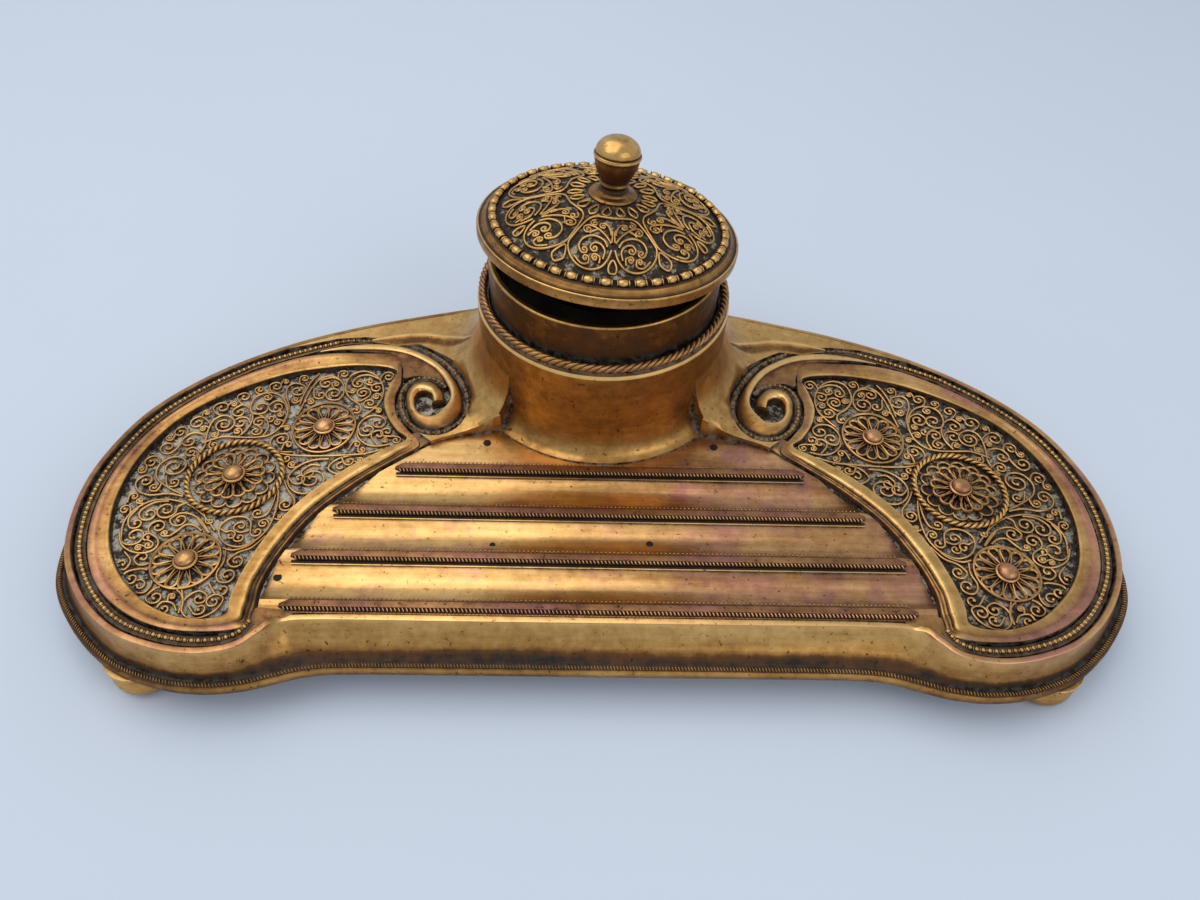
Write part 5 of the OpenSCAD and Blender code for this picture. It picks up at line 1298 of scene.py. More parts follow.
# Each scroll: the points of its stem, its eye, and its turns round the eye
SCROLLS = [
    ([(93.5, -29.5), (97, -25.5), (100.5, -22.6), (104.5, -20.8), (108.5, -20.3), (112, -21.2),
     (114.8, -24), (115.8, -27.5), (115.2, -31)], (112, -31.4), -1.3),
    ([(102.5, -21.3), (104.2, -22.6)], (106.8, -23.7), 1.6),
    ([(107, -20.9), (110.2, -21.3), (112.6, -23.4)], (110.6, -24.9), -1.2),
    ([(113.8, -23.2), (115, -25.8), (114.6, -28)], (112.8, -27.7), -1.1),
    ([(115.6, -31), (114, -34.2), (110.8, -36.2), (107.6, -36.4), (105.6, -34.8), (106, -32.6),
     (107.6, -31.3)], (108.7, -32.1), -1),
    ([(107.8, -31.4), (109.2, -29.8), (109, -27.8)], (107.2, -28.8), 1.1),
    ([(104.6, -36.2), (105.6, -38.8), (107.8, -39.8), (109.6, -38.6)], (108, -37.7), 0.9),
    ([(94.5, -30.5), (97.5, -26.8), (100.4, -24.9), (103.2, -24.7), (104.9, -26.4)],
     (102.7, -26.6), -1.2),
    ([(96.5, -29.8), (98.6, -28.2), (100.8, -28), (102.2, -29.6), (103.6, -31.4)], (0, 0), 0),
    ([(101, -21.8), (98, -23.8), (96.6, -26.3)], (95.5, -26.6), -0.9),
    ([(82.5, -13.5), (81, -18), (80.4, -23), (80.8, -28), (82.6, -31.8), (86, -34.2),
     (89.6, -33.6), (92, -31), (92.4, -28), (90.6, -25.8), (87.6, -25.4), (85.6, -26.8),
     (85, -29.4)], (83.4, -29.8), -1.1),
    ([(85.2, -29.2), (87.2, -30), (89, -29.2)], (87.7, -28.2), 1),
    ([(88.6, -30.2), (88.4, -32)], (87.2, -31.4), -1),
    ([(92.1, -29.2), (90.6, -30)], (89.4, -31.1), 0.9),
    ([(81.4, -29.5), (84, -33.5), (88, -35.2), (92, -33.4), (95.5, -29.5), (98.5, -26.2)],
     (0, 0), 0),
    ([(81.7, -17), (81.7, -21.5), (82.6, -24.6), (84.8, -25.4)], (84.6, -24), 1),
    ([(81, -31), (83.4, -34.4), (86.4, -36), (88, -38.2)], (86, -38.3), -1.3),
    ([(89.3, -35.5), (88.9, -38.5), (89.7, -41.4), (89, -43.6)], (87.2, -42.2), -1.2),
    ([(90.6, -44.6), (88.9, -46.9)], (87.3, -46), -0.9),
    ([(96.2, -46.5), (95, -49.5), (94.6, -52), (92.6, -53.8), (89.8, -53.6), (87.2, -51.6),
     (86.2, -49)], (88.3, -49.4), -1.3),
    ([(95.2, -52.5), (94.8, -48.6), (92.4, -46.6), (90.2, -47.8)], (91.7, -48.6), 1),
    ([(93.6, -50.4), (92, -52.4)], (90.9, -51.2), -1),
    ([(94.8, -50.5), (96, -47.6), (98.8, -45.8), (102, -46), (103.6, -48.2)],
     (101.6, -48.5), -1.2),
    ([(95.8, -52), (97.2, -50), (99.6, -49.6), (100.4, -51.2)], (98.8, -51.4), -1),
    ([(105, -42), (103.6, -44.6), (104.6, -47.2), (107.6, -47)], (106.3, -45.3), 1.1),
    ([(104.6, -41.6), (107, -40.9), (110.4, -42), (110, -44.6)], (108.6, -43.6), -1),
    ([(112.6, -36.2), (110.4, -38.6), (110.8, -40.9)], (112, -39.6), 1),
    ([(117, -21.6), (117.2, -19.4)], (116, -19.6), 1.1),
    ([(104, -19.4), (108, -18.6), (112, -19.2), (115.4, -18), (116.9, -15.4), (115.8, -13.2)],
     (114.7, -14.8), 1.1),
    ([(99.6, -21.2), (104, -19), (108.5, -16.6), (112.2, -13.8), (113.2, -10.2),
     (111.6, -7.2)], (109.2, -9.8), 1.6),
    ([(110.2, -13), (109.4, -15.4)], (107.8, -14.8), -1.3),
    ([(64.8, 8.6), (62.6, 11.4), (60.8, 14.6), (60.6, 18.6), (61.8, 22.4), (64, 25.2),
     (67, 26.6), (70, 25.4), (71.3, 22), (70.8, 18.2), (68.8, 15.4), (66.4, 13.6),
     (65.6, 11.6)], (66.9, 11.3), 1),
    ([(62.8, 23.8), (65.6, 25.2), (68.4, 24.6), (69.6, 22.4)], (68, 21.8), -1.2),
    ([(71.2, 20.4), (70, 17), (67.2, 14.9), (64.8, 16.4)], (66.2, 18.2), -1.6),
    ([(61.4, 22), (63.6, 21.4)], (62.6, 20), -1),
    ([(82.2, 9), (81.4, 14), (80.6, 19), (79.2, 22.6), (76.8, 24.4), (74, 23.6), (72, 20.8),
     (71.4, 17.6), (72.4, 15.4)], (74, 17.6), 1.4),
    ([(73.2, 22.8), (75.4, 24), (78.2, 23)], (76.9, 21.6), -1.1),
    ([(79.8, 19.4), (79.2, 16.4)], (77.6, 16.8), -1.1),
    ([(79.6, 25.4), (81, 22.4), (82, 18), (82.4, 13)], (0, 0), 0),
    ([(84.8, 8), (85.2, 12.4), (86.8, 16.4), (87.2, 19.6), (85.8, 21.4), (83.6, 21)],
     (84.2, 18.6), 1.2),
    ([(104.4, -1.6), (100, 0.6), (95.6, 0.6), (91.6, 0.6), (88, 1.6), (85.6, 4.6), (84.9, 8.6),
     (85.6, 12.4), (88, 16), (91.4, 17.3), (94.4, 16), (95.4, 12.8), (94.6, 9.8)],
     (92.5, 11.6), -1.2),
    ([(85.4, 10.6), (86.4, 13.2), (88.8, 14.4), (90.4, 12.8)], (88.3, 12), -1.2),
    ([(94.4, 9.6), (91.4, 8.6), (90.2, 7)], (89.1, 7.8), -1),
    ([(89.4, 1.2), (88.8, 4.2), (89.8, 7)], (91.6, 6.2), -1.3),
    ([(95.4, 1.4), (93.9, 4.6), (93.8, 8), (95.2, 11), (97.6, 12.6), (99.4, 11)],
     (97.8, 9.8), -1.1),
    ([(94, 6), (95, 7.6)], (96.6, 6), -1.2),
    ([(103.6, -2), (104.2, 3), (103.6, 6.8), (101.4, 8.4), (98.8, 7.2)], (100.6, 5), 1.7),
    ([(104, -5), (103.6, -1), (105.4, 1.6), (108.2, 1.8), (109.6, 0)], (107.9, -1), -1.2),
    ([(56.2, -0.6), (59.4, -1.4), (62.8, -0.4), (65, 2.4), (65.2, 6.2), (63.4, 9.2),
     (60.4, 9.6), (58.4, 8)], (60.3, 7), 1.1),
    ([(65.2, 4.8), (64.2, 2.4)], (62.8, 4.2), -1.2),
    ([(59, -1.2), (60.8, 1)], (59.4, 2.6), 1),
    ([(55.8, 2.2), (58.4, 2.4)], (57.4, 3.8), 1),
    ([(57.6, -2.6), (61.6, -4.2), (66, -4.8), (71, -5.2), (76, -5.4), (81, -5.2),
     (84.6, -4.6)], (0, 0), 0),
    ([(66.5, -3), (65.9, -1)], (64.6, -1), 1.1),
    ([(61.6, -4.4), (65.4, -4.8), (69, -6.4), (70.4, -9.2), (68.6, -10.8)], (67.2, -8.6), -1.2),
    ([(67.6, -5.6), (66.8, -7.4)], (65.4, -6.9), -1.1),
    ([(70.8, -6.2), (74.4, -6.6), (77.6, -8.4), (79.6, -11.6), (79.2, -15), (76.8, -17.4),
     (73.6, -17.6), (71.4, -15.6)], (73.9, -13.2), -1.5),
    ([(72.6, -8.4), (75, -8.2), (76.8, -10.2)], (75, -10.8), -1.1),
    ([(79.4, -13), (78, -14.6)], (76.9, -13), -1),
    ([(80.6, -13.6), (79, -16.6), (76.8, -19.4), (76.4, -21.6)], (78.4, -21.4), 1.5),
    ([(80.6, -4), (84.4, -3.8), (87, -1.4), (86.6, 1.4), (84.2, 2.4)], (84.4, 0.4), 1.3),
    ([(83.6, -3.9), (83.4, -2)], (82.2, -1.7), 1.1),
    ([(84, -5.4), (82.8, -7)], (81.7, -6.3), -1),
]  # fmt: skip
EYE_SHARE = 0.2
# Bare places wider than CURL_ROOM get a curl of their own, up to MOST_CURLS of them
CURL_ROOM = 1.45
CURL_GAP = 0.62
CURL_R = 2.3
CURL_TURNS = 1.15
MOST_CURLS = 150
GRID_STEP = 0.7


def scroll_run(stem, eye, turns):
    """The points of one wire, wound in to its eye."""
    points = [np.array(p, float) for p in stem]
    if turns:
        arm = points[-1] - np.array(eye)
        r, a = hypot(*arm), atan2(arm[1], arm[0])
        steps = max(3, ceil(abs(turns) * 8))
        for k in range(1, steps + 1):
            t = k / steps
            b = a + tau * turns * t
            points.append(eye + r * (1 - (1 - EYE_SHARE) * t) * np.array((np.cos(b), np.sin(b))))
    return open_curve(points, 4)


def small_curls(taken, walls, free):
    """Curls for the bare places between the scrolls, each grown from the nearest wire."""
    low, high = FRAME_INNER.min(0), FRAME_INNER.max(0)
    columns, lines = (np.arange(low[k], high[k], GRID_STEP) for k in (0, 1))
    grid = np.array([p for p in (np.array((x, y)) for x in columns for y in lines) if free(p)])

    def gaps(points):
        return np.array([np.hypot(*(points - p).T).min() for p in grid])

    room = np.minimum(gaps(taken), gaps(walls) + 0.1)
    curls = []
    while room.max() > CURL_ROOM and len(curls) < MOST_CURLS:
        best = int(room.argmax())
        middle, r = grid[best], min(room[best] - CURL_GAP, CURL_R)
        near = taken[np.hypot(*(taken - middle).T).argmin()]
        arm = unit(near - middle)
        way = 1 if len(curls) % 3 else -1
        stem = [near]
        for turn in (40, 95):
            a = atan2(arm[1], arm[0]) + way * radians(turn)
            stem.append(middle + r * np.array((np.cos(a), np.sin(a))))
        run = scroll_run(stem, middle, CURL_TURNS * way)
        curls.append(run)
        taken = np.vstack([taken, run])
        room = np.minimum(room, gaps(run))
    return curls


def make_filigree(word, side):
    """The scrolls between the frame and the rosettes."""
    middle = np.mean(FRAME_INNER, 0)
    rings = []
    for key, rosette in ROSETTES.items():
        r = TWIST_RING_R + 0.3 if key == "middle" else rosette["r"]
        rings.append((np.array(rosette["place"]) + FILIGREE_PLACE, r, r * rosette["oval"]))

    def free(p):
        inner = inside(p + unit(p - middle) * 0.3, FRAME_INNER)
        return inner and all(
            hypot((p[0] - c[0]) / rx, (p[1] - c[1]) / ry) > 1 for c, rx, ry in rings
        )

    paths = [scroll_run(stem, eye, turns) + FILIGREE_PLACE for stem, eye, turns in SCROLLS]
    a = np.linspace(0, tau, 90)
    round_rings = [c + np.column_stack([rx * np.cos(a), ry * np.sin(a)]) for c, rx, ry in rings]
    walls = np.vstack([evenly(FRAME_INNER, 400)] + round_rings)
    paths += small_curls(np.vstack(paths), walls, free)
    runs, eyes = [], set()
    for number, path in enumerate(paths):
        lift = LAYER * ((number * 5) % 3)
        turns = number >= len(SCROLLS) or SCROLLS[number][2]
        run = []
        for k, p in enumerate(path):
            if free(p):
                run.append((side * p[0], p[1], PANEL_Z + WIRE_LIFT + lift))
            if run and (not free(p) or k == len(path) - 1):
                if len(run) > 2:
                    if free(p) and turns:
                        eyes.add(len(runs))
                    runs.append(run)
                run = []
    mesh = wires(guide(runs, eyes=eyes), WIRE_R, 1.25, 0.55, WIRES)
    node = f"filigree_{word}"
    piece(node + "_wires", mesh, WIRES, "stand", [node], 0)


def petal(inner, outer, width):
    """One looped petal towards +X, pointed at the middle and round outside."""
    r = width / 2
    arc = [(outer - r + r * np.cos(a), r * np.sin(a)) for a in np.linspace(-1.9, 1.9, 13)]
    return [(inner, 0.0)] + [(x, y) for x, y in arc]


def boss_mesh(place, z, r):
    """A domed centre on a collar."""
    dome = [(r * np.cos(a), 0.5 + 1.5 * np.sin(a)) for a in np.linspace(0, tau / 4, 9)[:-1]]
    profile = [(0, -0.6), (r + 0.5, -0.6), (r + 0.5, 0.3), (r + 0.1, 0.5)] + dome + [(0, 2.0)]
    shape = [(a, b + z) for a, b in profile]
    return solid_mesh("boss", *turned(shape, 40, 0.15, 0.7, centre=place))


def joined(name, meshes):
    """One mesh from several."""
    work = bmesh.new()
    for mesh in meshes:
        work.from_mesh(mesh)
    result = bpy.data.meshes.new(name)
    work.to_mesh(result)
    work.free()
    return result


def make_rosette(key, word, side):
    """A flower of wire loops round a domed centre, in its ring."""
    rosette = ROSETTES[key]
    place = flipped([np.array(rosette["place"]) + FILIGREE_PLACE], side)[0]
    r, oval = rosette["r"], rosette["oval"]
    z = PANEL_Z + 0.45

    def loops(outer, width, height, wire, first):
        loop = [(x, y, 0) for x, y in petal(PETAL_START, outer, width)]
        return grown(
            PETAL_TREE,
            guide([loop], True),
            Petals=PETALS,
            Wire_radius=wire * MM,
            Rise=1.3,
            Centre=(place[0] * MM, place[1] * MM, height * MM),
            First_angle=first,
            Material=ROSETTE,
        )

    if key == "middle":
        half_step = tau / PETALS / 2
        parts = [loops(r, 3.6, z, 0.32, 0.0), loops(r * 0.76, 2.9, z + 0.95, 0.34, half_step)]
        boss_z = z + 1.35
    else:
        ring = circle(place, 96, r - 0.38, r * oval - 0.38)
        rim = wires(guide([at_height(ring, z + 0.1)], True), 0.38, 1.3, 0.1, ROSETTE)
        parts = [loops(r - 0.6, 2.5, z, 0.4, 0.0), rim]
        boss_z = z + 0.45
    node = f"rosette_{key}_{word}"
    mesh = joined("rosette", parts)
    piece(node + "_wires", mesh, ROSETTE, "stand", [node], 40)
    piece(node + "_boss", boss_mesh(place, boss_z, BOSS_R), BOSS, "stand")


def make_twist_ring(word, side):
    """The rope of two wires round the middle rosette."""
    place = flipped([np.array(ROSETTES["middle"]["place"]) + FILIGREE_PLACE], side)[0]
    ring = circle(place, 96, TWIST_RING_R)
    mesh = grown(
        RING_ROPE_TREE,
        guide([at_height(ring, PANEL_Z + TWIST_WIRE_R + 0.05)], True),
        Samples=560,
        Turns=22.0,
        Strand_radius=0.46 * MM,
        Lay_radius=0.42 * MM,
        Material=ROPE,
    )
    node = f"twist_ring_{word}"
    piece(node + "_rope", mesh, ROPE, "stand", [node], 0)


# Well, insert and lid


def turned_piece(name, profile, material, slot, node, body="stand", segments=192, **options):
    """A turned finish round the well's axis, or round the lid's own."""
    lid = body == "lid"
    centre = (0, 0) if lid else options.pop("centre", (0, WELL_Y))
    points, faces, wear_and_shade = turned(profile, segments, centre=centre, **options)
    mesh = solid_mesh(name, on_lid(points) if lid else points, faces, wear_and_shade)
    piece(name, mesh, material, body, [node])


def make_well():
    """The drum with its bore, and the rope of three wires round its mouth."""
    drum = [
        (0, WELL_FLOOR_Z - 2), (DRUM_FOOT_R - 5, WELL_FLOOR_Z - 2), (DRUM_FOOT_R - 5, DECK_Z),
        (DRUM_FOOT_R, DECK_Z), (DRUM_FOOT_R, RIM_Z), (DRUM_R, RIM_Z), (DRUM_R, RIM_Z + 6),
        (DRUM_R, MOUTH_Z - 5), (DRUM_R, MOUTH_Z - 1.4), (DRUM_R - 0.3, MOUTH_Z - 0.9),
        (DRUM_R - 0.5, MOUTH_Z - 0.5), (DRUM_R - 1, MOUTH_Z), (BORE_R, MOUTH_Z),
        (BORE_R, WELL_FLOOR_Z), (0, WELL_FLOOR_Z),
    ]  # fmt: skip

    def drum_tone(shape):
        # Bright at the shoulder, darker towards the foot, dark on the lip inside it and darkest
        # down the bore, where painted shade stands for the gap round the sleeve.
        shoulder = (shape[:, 0] > DRUM_R - 0.4) & (shape[:, 1] > MOUTH_Z - 1.5)
        within = shape[:, 0] < BORE_R + 0.1
        side = np.interp(shape[:, 1], [RIM_Z, RIM_Z + 4, MOUTH_Z - 5], [0.34, 0.5, 0.5])
        lip = (shape[:, 1] > MOUTH_Z - 0.6) & ~within
        return np.where(shoulder, 0.95, np.where(within, 0.15, np.where(lip, 0.25, side)))

    turned_piece("well_drum_finish", drum, DRUM, "well_brass", "well_drum", tone=drum_tone)
    ring = circle((0, WELL_Y), 192, DRUM_R - MOUTH_ROPE_IN - MOUTH_ROPE_R * 0.3)
    rope = grown(
        MOUTH_ROPE_TREE,
        guide([at_height(ring, MOUTH_Z + MOUTH_ROPE_IN)], True),
        Samples=1100,
        Turns=34.0,
        Strand_radius=0.6 * MM,
        Lay_radius=0.52 * MM,
        Material=MOUTH_ROPE,
    )
    piece("well_rope", rope, MOUTH_ROPE, "stand", ["well_twist_ring"], 0)


def make_insert():
    """The sleeve that slides in the drum."""
    bore, floor = SLEEVE_R - SLEEVE_T, WELL_FLOOR_Z + 1.2
    sleeve = [
        (0, WELL_FLOOR_Z), (SLEEVE_R, WELL_FLOOR_Z), (SLEEVE_R, MOUTH_Z + 3),
        (SLEEVE_R, SLEEVE_Z - 0.4), (SLEEVE_R - 0.4, SLEEVE_Z), (bore, SLEEVE_Z),
        (bore, floor), (0, floor),
    ]  # fmt: skip

    def sleeve_tone(shape):
        lip = shape[:, 1] > SLEEVE_Z - 0.45
        return np.where(lip, 0.85, np.where(shape[:, 0] < SLEEVE_R - 0.6, 0.1, 0.5))

    turned_piece(
        "sleeve_finish", sleeve, SLEEVE, "sleeve_brass", "sleeve", "insert", tone=sleeve_tone
    )


def dome_height(r, a=None):
    """Height of the dome over the closed lid's foot, with valleys between its six lobes."""
    share = np.maximum(r, DOME_FLAT_R) / DOME_R
    height = BEAD_SEAT + DOME_RISE * (1 - share**DOME_FULLNESS)
    if a is None:
        return height
    out = np.clip((r - DOME_FLAT_R) / (DOME_R - DOME_FLAT_R), 0, 1)
    valley = 1 - np.abs(np.cos(LOBES / 2 * (a - LOBE_FIRST)))
    return height - LOBE_DEPTH * valley * np.sin(np.pi * out)


def nearest_tone(shape, tones):
    """A function that gives rounded points the tone of the nearest point of a shape."""

    def tone(points):
        near = np.linalg.norm(points[:, None] - np.array(shape)[None], axis=2).argmin(1)
        return np.array(tones)[near]

    return tone


def lobed(count, profile):
    """A body round the lid's middle, from its profile in each direction."""
    sections = [
        [(r * np.cos(a), r * np.sin(a), z) for r, z in profile(a)]
        for a in LOBE_FIRST + np.arange(count) * tau / count
    ]
    points, faces = loft(sections, True)
    return on_lid(points), faces


def make_lid():
    """The lid's band, its lobed dome with a lining under it, and the ring of beads and reels."""
    inner, seat = SLEEVE_R - SLEEVE_T - LINER_GAP - 1.4, BEAD_SEAT - DOME_T
    rim = [
        (inner, 0), (LID_R - 0.6, 0), (LID_R, 0.5), (LID_R, 2.6), (LID_R - 0.3, 2.9),
        (LID_R - 0.75, 2.75), (LID_R - 1.0, 3.0), (LID_R - 1.5, 3.25), (LID_BEAD_R + 1.75, 3.9),
        (LID_BEAD_R + 1.5, 4.2), (LID_BEAD_R + 1.2, BEAD_SEAT - 0.2), (DOME_R, BEAD_SEAT - 0.05),
        (DOME_R, seat), (inner, seat),
    ]  # fmt: skip
    tones = [0.2, 0.4, 0.75, 0.55, 0.9, 0.1, 0.35, 0.5, 0.55, 0.3, 0.1, 0.1, 0.1, 0.1]
    finish = {"radius": 0.16, "tone": nearest_tone(rim, tones), "segments": 256}
    turned_piece("lid_rim_finish", rim, LID, "lid_brass", "lid_rim", "lid", **finish)
    radii = DOME_R * (1 - np.arange(25) / 24)

    def shell(a):
        top = [(r, dome_height(r, a)) for r in radii]
        under = [(r, z - DOME_T) for r, z in top[::-1] if r < DOME_R - 1]
        return [(DOME_R, seat)] + top + under + [(DOME_R - 0.8, seat)]

    def skin(a):
        upper = [(r, dome_height(r, a) - DOME_T - 0.02) for r in radii if r < DOME_R - 1.2]
        return upper + [(r, z - 0.08) for r, z in upper[::-1]]

    dome = solid_mesh("lid_dome", *lobed(240, shell))
    piece("lid_dome_finish", dome, LID_GROUND, "lid", ["lid_dome"])
    piece("lid_dome_lining", solid_mesh("lining", *lobed(120, skin), 0.34), LID, "lid")
    ring = on_lid(at_height(circle((0, 0), 192, LID_BEAD_R), BEAD_SEAT + 0.2))
    sizes = {"size": (3.2, 2.2, 1.9), "reel": (0.5, 2.1, 1.7)}
    beads = bead_row(ring, 138, material=LID_BEADS, closed=True, places=3, **sizes)
    piece("lid_bead_and_reel", beads, LID_BEADS, "lid", ["lid_beading"], 0)


# Right half of a medallion of the lid, as points across and outward from the lid's middle
MEDALLION_EDGE = [
    (0.42, 21.4), (1.2, 23.6), (2.8, 25.4), (5.4, 26.2), (8.1, 25.7), (10.1, 23.9),
    (10.7, 21.2), (9.4, 18.4), (7.7, 15.4), (6.0, 12.9), (4.2, 11.6), (2.0, 11.5), (0, 11.7),
]  # fmt: skip
MEDALLION_SCROLLS = [
    ([(1.3, 20.6), (2.3, 18.7), (4.6, 17.8), (6.9, 18.8), (8.0, 20.9), (7.6, 22.3)],
     (6.7, 21.9), 1.2),
    ([(2.3, 23.6), (1.9, 21.6), (2.9, 20.0), (4.4, 19.8), (5.2, 20.8)], (4.3, 21.2), 1.1),
    ([(3.1, 24.6), (3.0, 23.2), (4.1, 22.6)], (4.1, 23.4), 1.2),
    ([(8.9, 23.9), (7.3, 25.2), (5.7, 24.9), (5.5, 23.8)], (6.3, 23.9), 1.1),
    ([(0.5, 19.6), (2, 17.2), (3.9, 15.4), (5.9, 14.8), (7.0, 15.7), (6.8, 16.7)],
     (6.0, 16.1), 1.0),
    ([(3.6, 15.7), (5.0, 16.6), (5.6, 17.4)], (0, 0), 0),
    ([(0.5, 17.4), (0.8, 15.4), (1.7, 14), (2.8, 13.9)], (2.4, 14.7), 1.0),
    ([(0.35, 19.4), (0.25, 17.4), (0.35, 16.2), (0.9, 15.4)], (0, 0), 0),
    ([(4.0, 12.6), (5.2, 13.4), (5.2, 14.2)], (4.4, 13.9), 0.9),
]  # fmt: skip
DROP = [(0, 23.6), (0.9, 25.0), (0.7, 26.3), (-0.7, 26.3), (-0.9, 25.0)]
DROP_BETWEEN = [(0, 21.9), (1.15, 23.6), (1.45, 25.2), (0, 26.4), (-1.45, 25.2), (-1.15, 23.6)]
CROWN_LEAF = [(0, 10.9), (0.85, 10.0), (0.8, 8.7), (0, 7.2), (-0.8, 8.7), (-0.85, 10.0)]
CROWN_LEAVES = 18


def make_lid_wires():
    """Six medallions of scrolls on the dome, with drops between and leaves round the knob."""
    runs, loops, eyes = [], [], set()

    def lay(path, middle, lift=0.25):
        path = np.asarray(path, float)
        a = middle + path[:, 0] / path[:, 1]
        r = np.minimum(path[:, 1], DOME_R - 0.6)
        height = dome_height(r, a) + lift
        return on_lid(np.column_stack([r * np.cos(a), r * np.sin(a), height]))

    edge = open_curve(MEDALLION_EDGE, 6)
    for k in range(LOBES):
        middle = LOBE_FIRST + tau * k / LOBES
        between = middle + tau / LOBES / 2
        for x in (-1, 1):
            runs.append(lay(edge * (x, 1), middle, 0.34))
            for stem, eye, turns in MEDALLION_SCROLLS:
                if turns:
                    eyes.add(len(runs))
                runs.append(lay(scroll_run(stem, eye, turns) * (x, 1), middle))
        loops.append(lay(closed_curve(DROP, 5), middle))
        loops.append(lay(closed_curve(DROP_BETWEEN, 5), between, 0.3))
    for k in range(CROWN_LEAVES):
        loops.append(lay(closed_curve(CROWN_LEAF, 4), LOBE_FIRST + tau * (k + 0.5) / CROWN_LEAVES))
    sources = (guide(runs, eyes=eyes), guide(loops, True))
    mesh = joined("lid_wires", [wires(source, WIRE_R, 1.4, 0.45, LID_WIRES) for source in sources])
    piece("lid_filigree_wires", mesh, LID_WIRES, "lid", ["lid_filigree"], 0)


def make_knob():
    """The knob: foot, waist, swelling neck with a ridge, and a domed cap."""
    seat, ridge, r, foot, waist = float(dome_height(0)), 10.3, 5.8, 6.0, 3.1
    profile = [
        (0, 0), (foot, 0), (foot, 0.45), (foot - 0.5, 0.85), (waist + 1.1, 1.05),
        (waist + 0.9, 1.5), (waist + 0.25, 1.8), (waist, 2.4), (waist + 0.1, 2.9),
        (waist + 0.5, 3.15), (waist + 0.6, 3.45), (waist + 0.45, 3.8), (waist + 0.25, 4.05),
    ]  # fmt: skip
    low, high = profile[-1], (r - 0.35, ridge - 0.65)
    for t in np.arange(1, 8) / 7:
        swell = np.sin(t * tau / 4)
        profile.append((low[0] + (high[0] - low[0]) * swell, low[1] + (high[1] - low[1]) * t))
    profile += [(r - 0.05, ridge - 0.35), (r, ridge), (r - 0.1, ridge + 0.35)]
    profile.append((r - 0.5, ridge + 0.6))
    cap = [(r - 0.4, ridge + 0.75)]
    for a in np.arange(1, 13) / 12 * tau / 4:
        cap.append((max(0, (r - 0.4) * np.cos(a)), ridge + 0.75 + 3.65 * np.sin(a)))
    tones = [0.2, 0.3, 0.55, 0.45, 0.5, 0.4, 0.2, 0.12, 0.15, 0.45, 0.55, 0.4, 0.15]
    tones += [0.2, 0.25, 0.3, 0.33, 0.36, 0.36, 0.3, 0.6, 0.85, 0.6, 0.1]
    tones += [0.3] + [0.72] * 8 + [0.62] * 4
    shape = np.array(profile + cap) + (0, seat)
    finish = {"radius": 0.1, "tone": nearest_tone(shape, tones), "segments": 96}
    turned_piece("knob_finish", shape, KNOB, "knob_brass", "knob", "lid", **finish)


def make_feet():
    """The four bun feet."""
    profile = [(0, 0), (4, 0)]
    for a in np.radians(-90 + 165 * np.arange(1, 10) / 10):
        profile.append((4 + 3.7 * np.cos(a), FOOT_H * 0.44 * (1 + np.sin(a))))
    profile += [(5, FOOT_H - 0.8), (5, FOOT_H), (0, FOOT_H)]
    for name, place in zip(("front_left", "front_right", "back_left", "back_right"), FOOT_PLACES):
        node = f"foot_{name}"
        options = {"segments": 64, "centre": place}
        turned_piece(node + "_finish", profile, FEET, "stand_brass", node, **options)


def make_all():
    """All the finishes, in order, and materials for the machined nodes that stay as they are."""
    make_base()
    make_wall()
    make_flange_milling()
    make_rails()
    for word, side in SIDES.items():
        make_wing_frame(word, side)
        make_corner_plates(word, side)
        make_beading(word, side)
        make_volute(word, side)
        make_web(word, side)
        make_crest(word, side)
        make_filigree(word, side)
        make_twist_ring(word, side)
        for key in ROSETTES:
            make_rosette(key, word, side)
    make_well()
    make_insert()
    make_lid()
    make_lid_wires()
    make_knob()
    make_feet()
    polished("pen_tray", TRAY, "stand", 0.62)
    polished("shoulder_saddle", SADDLE, "stand", 0.68)
    polished("well_flare", DRUM, "stand", 0.55)
    polished("tray_pins", PINS, "stand", 0.05)
    make_tray_holes()
    polished("sleeve_hinge", FITTINGS, "insert", 0.5)
    polished("lid_hinge", FITTINGS, "lid", 0.5)
    polished("lid_liner", LID, "lid", 0.4)
    polished("ink_pot", GLASS, "insert")
    for node, material in {
        "deck_plate": FITTINGS,
        "wing_panel_left": GROUND_LEFT,
        "wing_panel_right": GROUND_RIGHT,
        "hinge_pin": FITTINGS,
        "knob_nut": FITTINGS,
        "foot_screws": FITTINGS,
    }.items():
        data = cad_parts[node].data
        data.materials.clear()
        data.materials.append(material)


# Stage, light and camera

BACKDROP = (0.578, 0.672, 0.807, 1.0)
SKY_LIGHT = (0.52, 0.55, 0.6, 1.0)
PAPER = ((0.655, 0.73, 0.83, 1.0), (0.69, 0.755, 0.85, 1.0))
REACH = 4.0


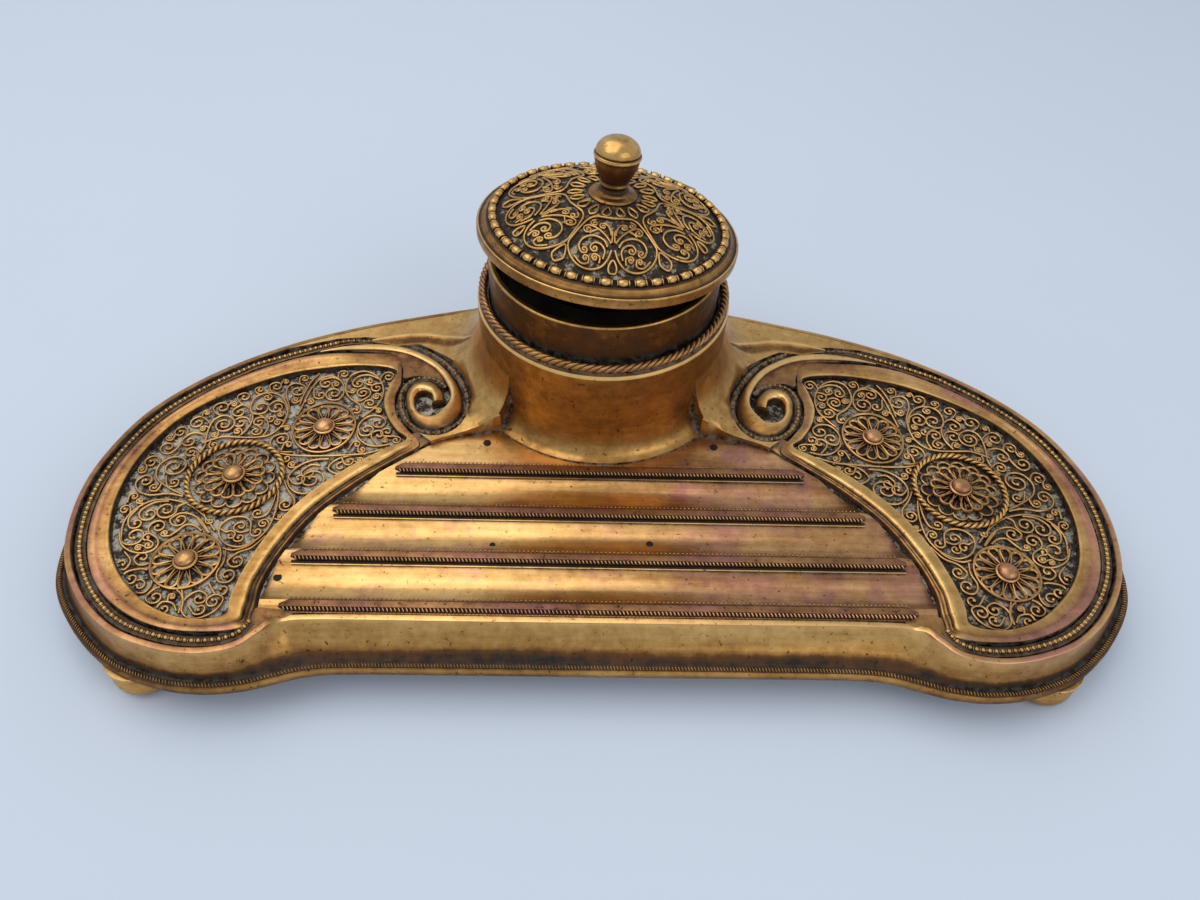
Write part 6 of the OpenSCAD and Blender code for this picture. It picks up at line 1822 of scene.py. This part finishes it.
def make_stage():
    """Pale blue paper under the object, and a sky of its colour that gives a greyer light."""
    mesh = bpy.data.meshes.new("floor")
    corners = [(REACH * x, REACH * y, 0) for x, y in ((-1, -1), (1, -1), (1, 1), (-1, 1))]
    mesh.from_pydata(corners, [], [(0, 1, 2, 3)])
    floor = bpy.data.objects.new("floor", mesh)
    scene.collection.objects.link(floor)
    f = Finish("floor_paper")
    soft = f.noise(6, 3)
    f.feed("Base Color", f.mix(soft, *PAPER))
    f.feed("Roughness", 0.9)
    f.feed("Specular IOR Level", 0.1)
    mesh.materials.append(f.material)

    world = bpy.data.worlds.new("studio")
    world.use_nodes = True
    scene.world = world
    tree = world.node_tree
    light = put(tree, "ShaderNodeLightPath")
    seen = light.outputs["Is Camera Ray"]
    for ray in ("Is Glossy Ray", "Is Transmission Ray"):
        rays = {0: seen, 1: light.outputs[ray]}
        seen = put(tree, "ShaderNodeMath", rays, operation="MAXIMUM").outputs[0]
    mix = put(tree, "ShaderNodeMix", {0: seen, 6: SKY_LIGHT, 7: BACKDROP}, data_type="RGBA")
    back = tree.nodes["Background"]
    tree.links.new(mix.outputs[2], back.inputs["Color"])


def make_lamp(name, place, target, size, watts, colour=(1, 1, 1)):
    """A rectangular lamp aimed at a point."""
    lamp = bpy.data.lights.new(name, "AREA")
    lamp.shape = "RECTANGLE"
    lamp.size, lamp.size_y = size
    lamp.energy = watts
    lamp.color = colour
    obj = bpy.data.objects.new(name, lamp)
    obj.location = place
    aim = Vector(target) - Vector(place)
    obj.rotation_euler = aim.to_track_quat("-Z", "Y").to_euler()
    scene.collection.objects.link(obj)


def make_camera():
    """The photograph's view: a close wide lens, a little from the left and turned."""
    azimuth, elevation, roll = radians(-2.36), radians(48.43), radians(2.88)
    target, distance = Vector((-0.19, 0, 17.5)) * MM, 238.57 * MM
    back = Vector(
        (
            np.sin(azimuth) * np.cos(elevation),
            -np.cos(azimuth) * np.cos(elevation),
            np.sin(elevation),
        )
    )
    level = Vector((np.cos(azimuth), np.sin(azimuth), 0))
    up = back.cross(level)
    right = np.cos(roll) * level + np.sin(roll) * up
    above = np.cos(roll) * up - np.sin(roll) * level
    lens = bpy.data.cameras.new("camera")
    lens.lens, lens.sensor_width, lens.sensor_fit = 27.0, 36.0, "HORIZONTAL"
    lens.clip_start = 0.01
    camera = bpy.data.objects.new("camera", lens)
    turn = Matrix((right, above, back)).transposed().to_4x4()
    camera.matrix_world = Matrix.Translation(target + back * distance) @ turn
    scene.collection.objects.link(camera)
    scene.camera = camera


make_all()
make_stage()
make_lamp("window", (-0.25, 0.1, 0.75), (0, 0, 0.02), (0.9, 0.7), 2.6, (1.0, 0.98, 0.95))
make_lamp("fill", (0.5, -0.5, 0.55), (0, 0, 0.02), (0.6, 0.5), 1.0)
make_camera()
scene.view_settings.view_transform = "Standard"
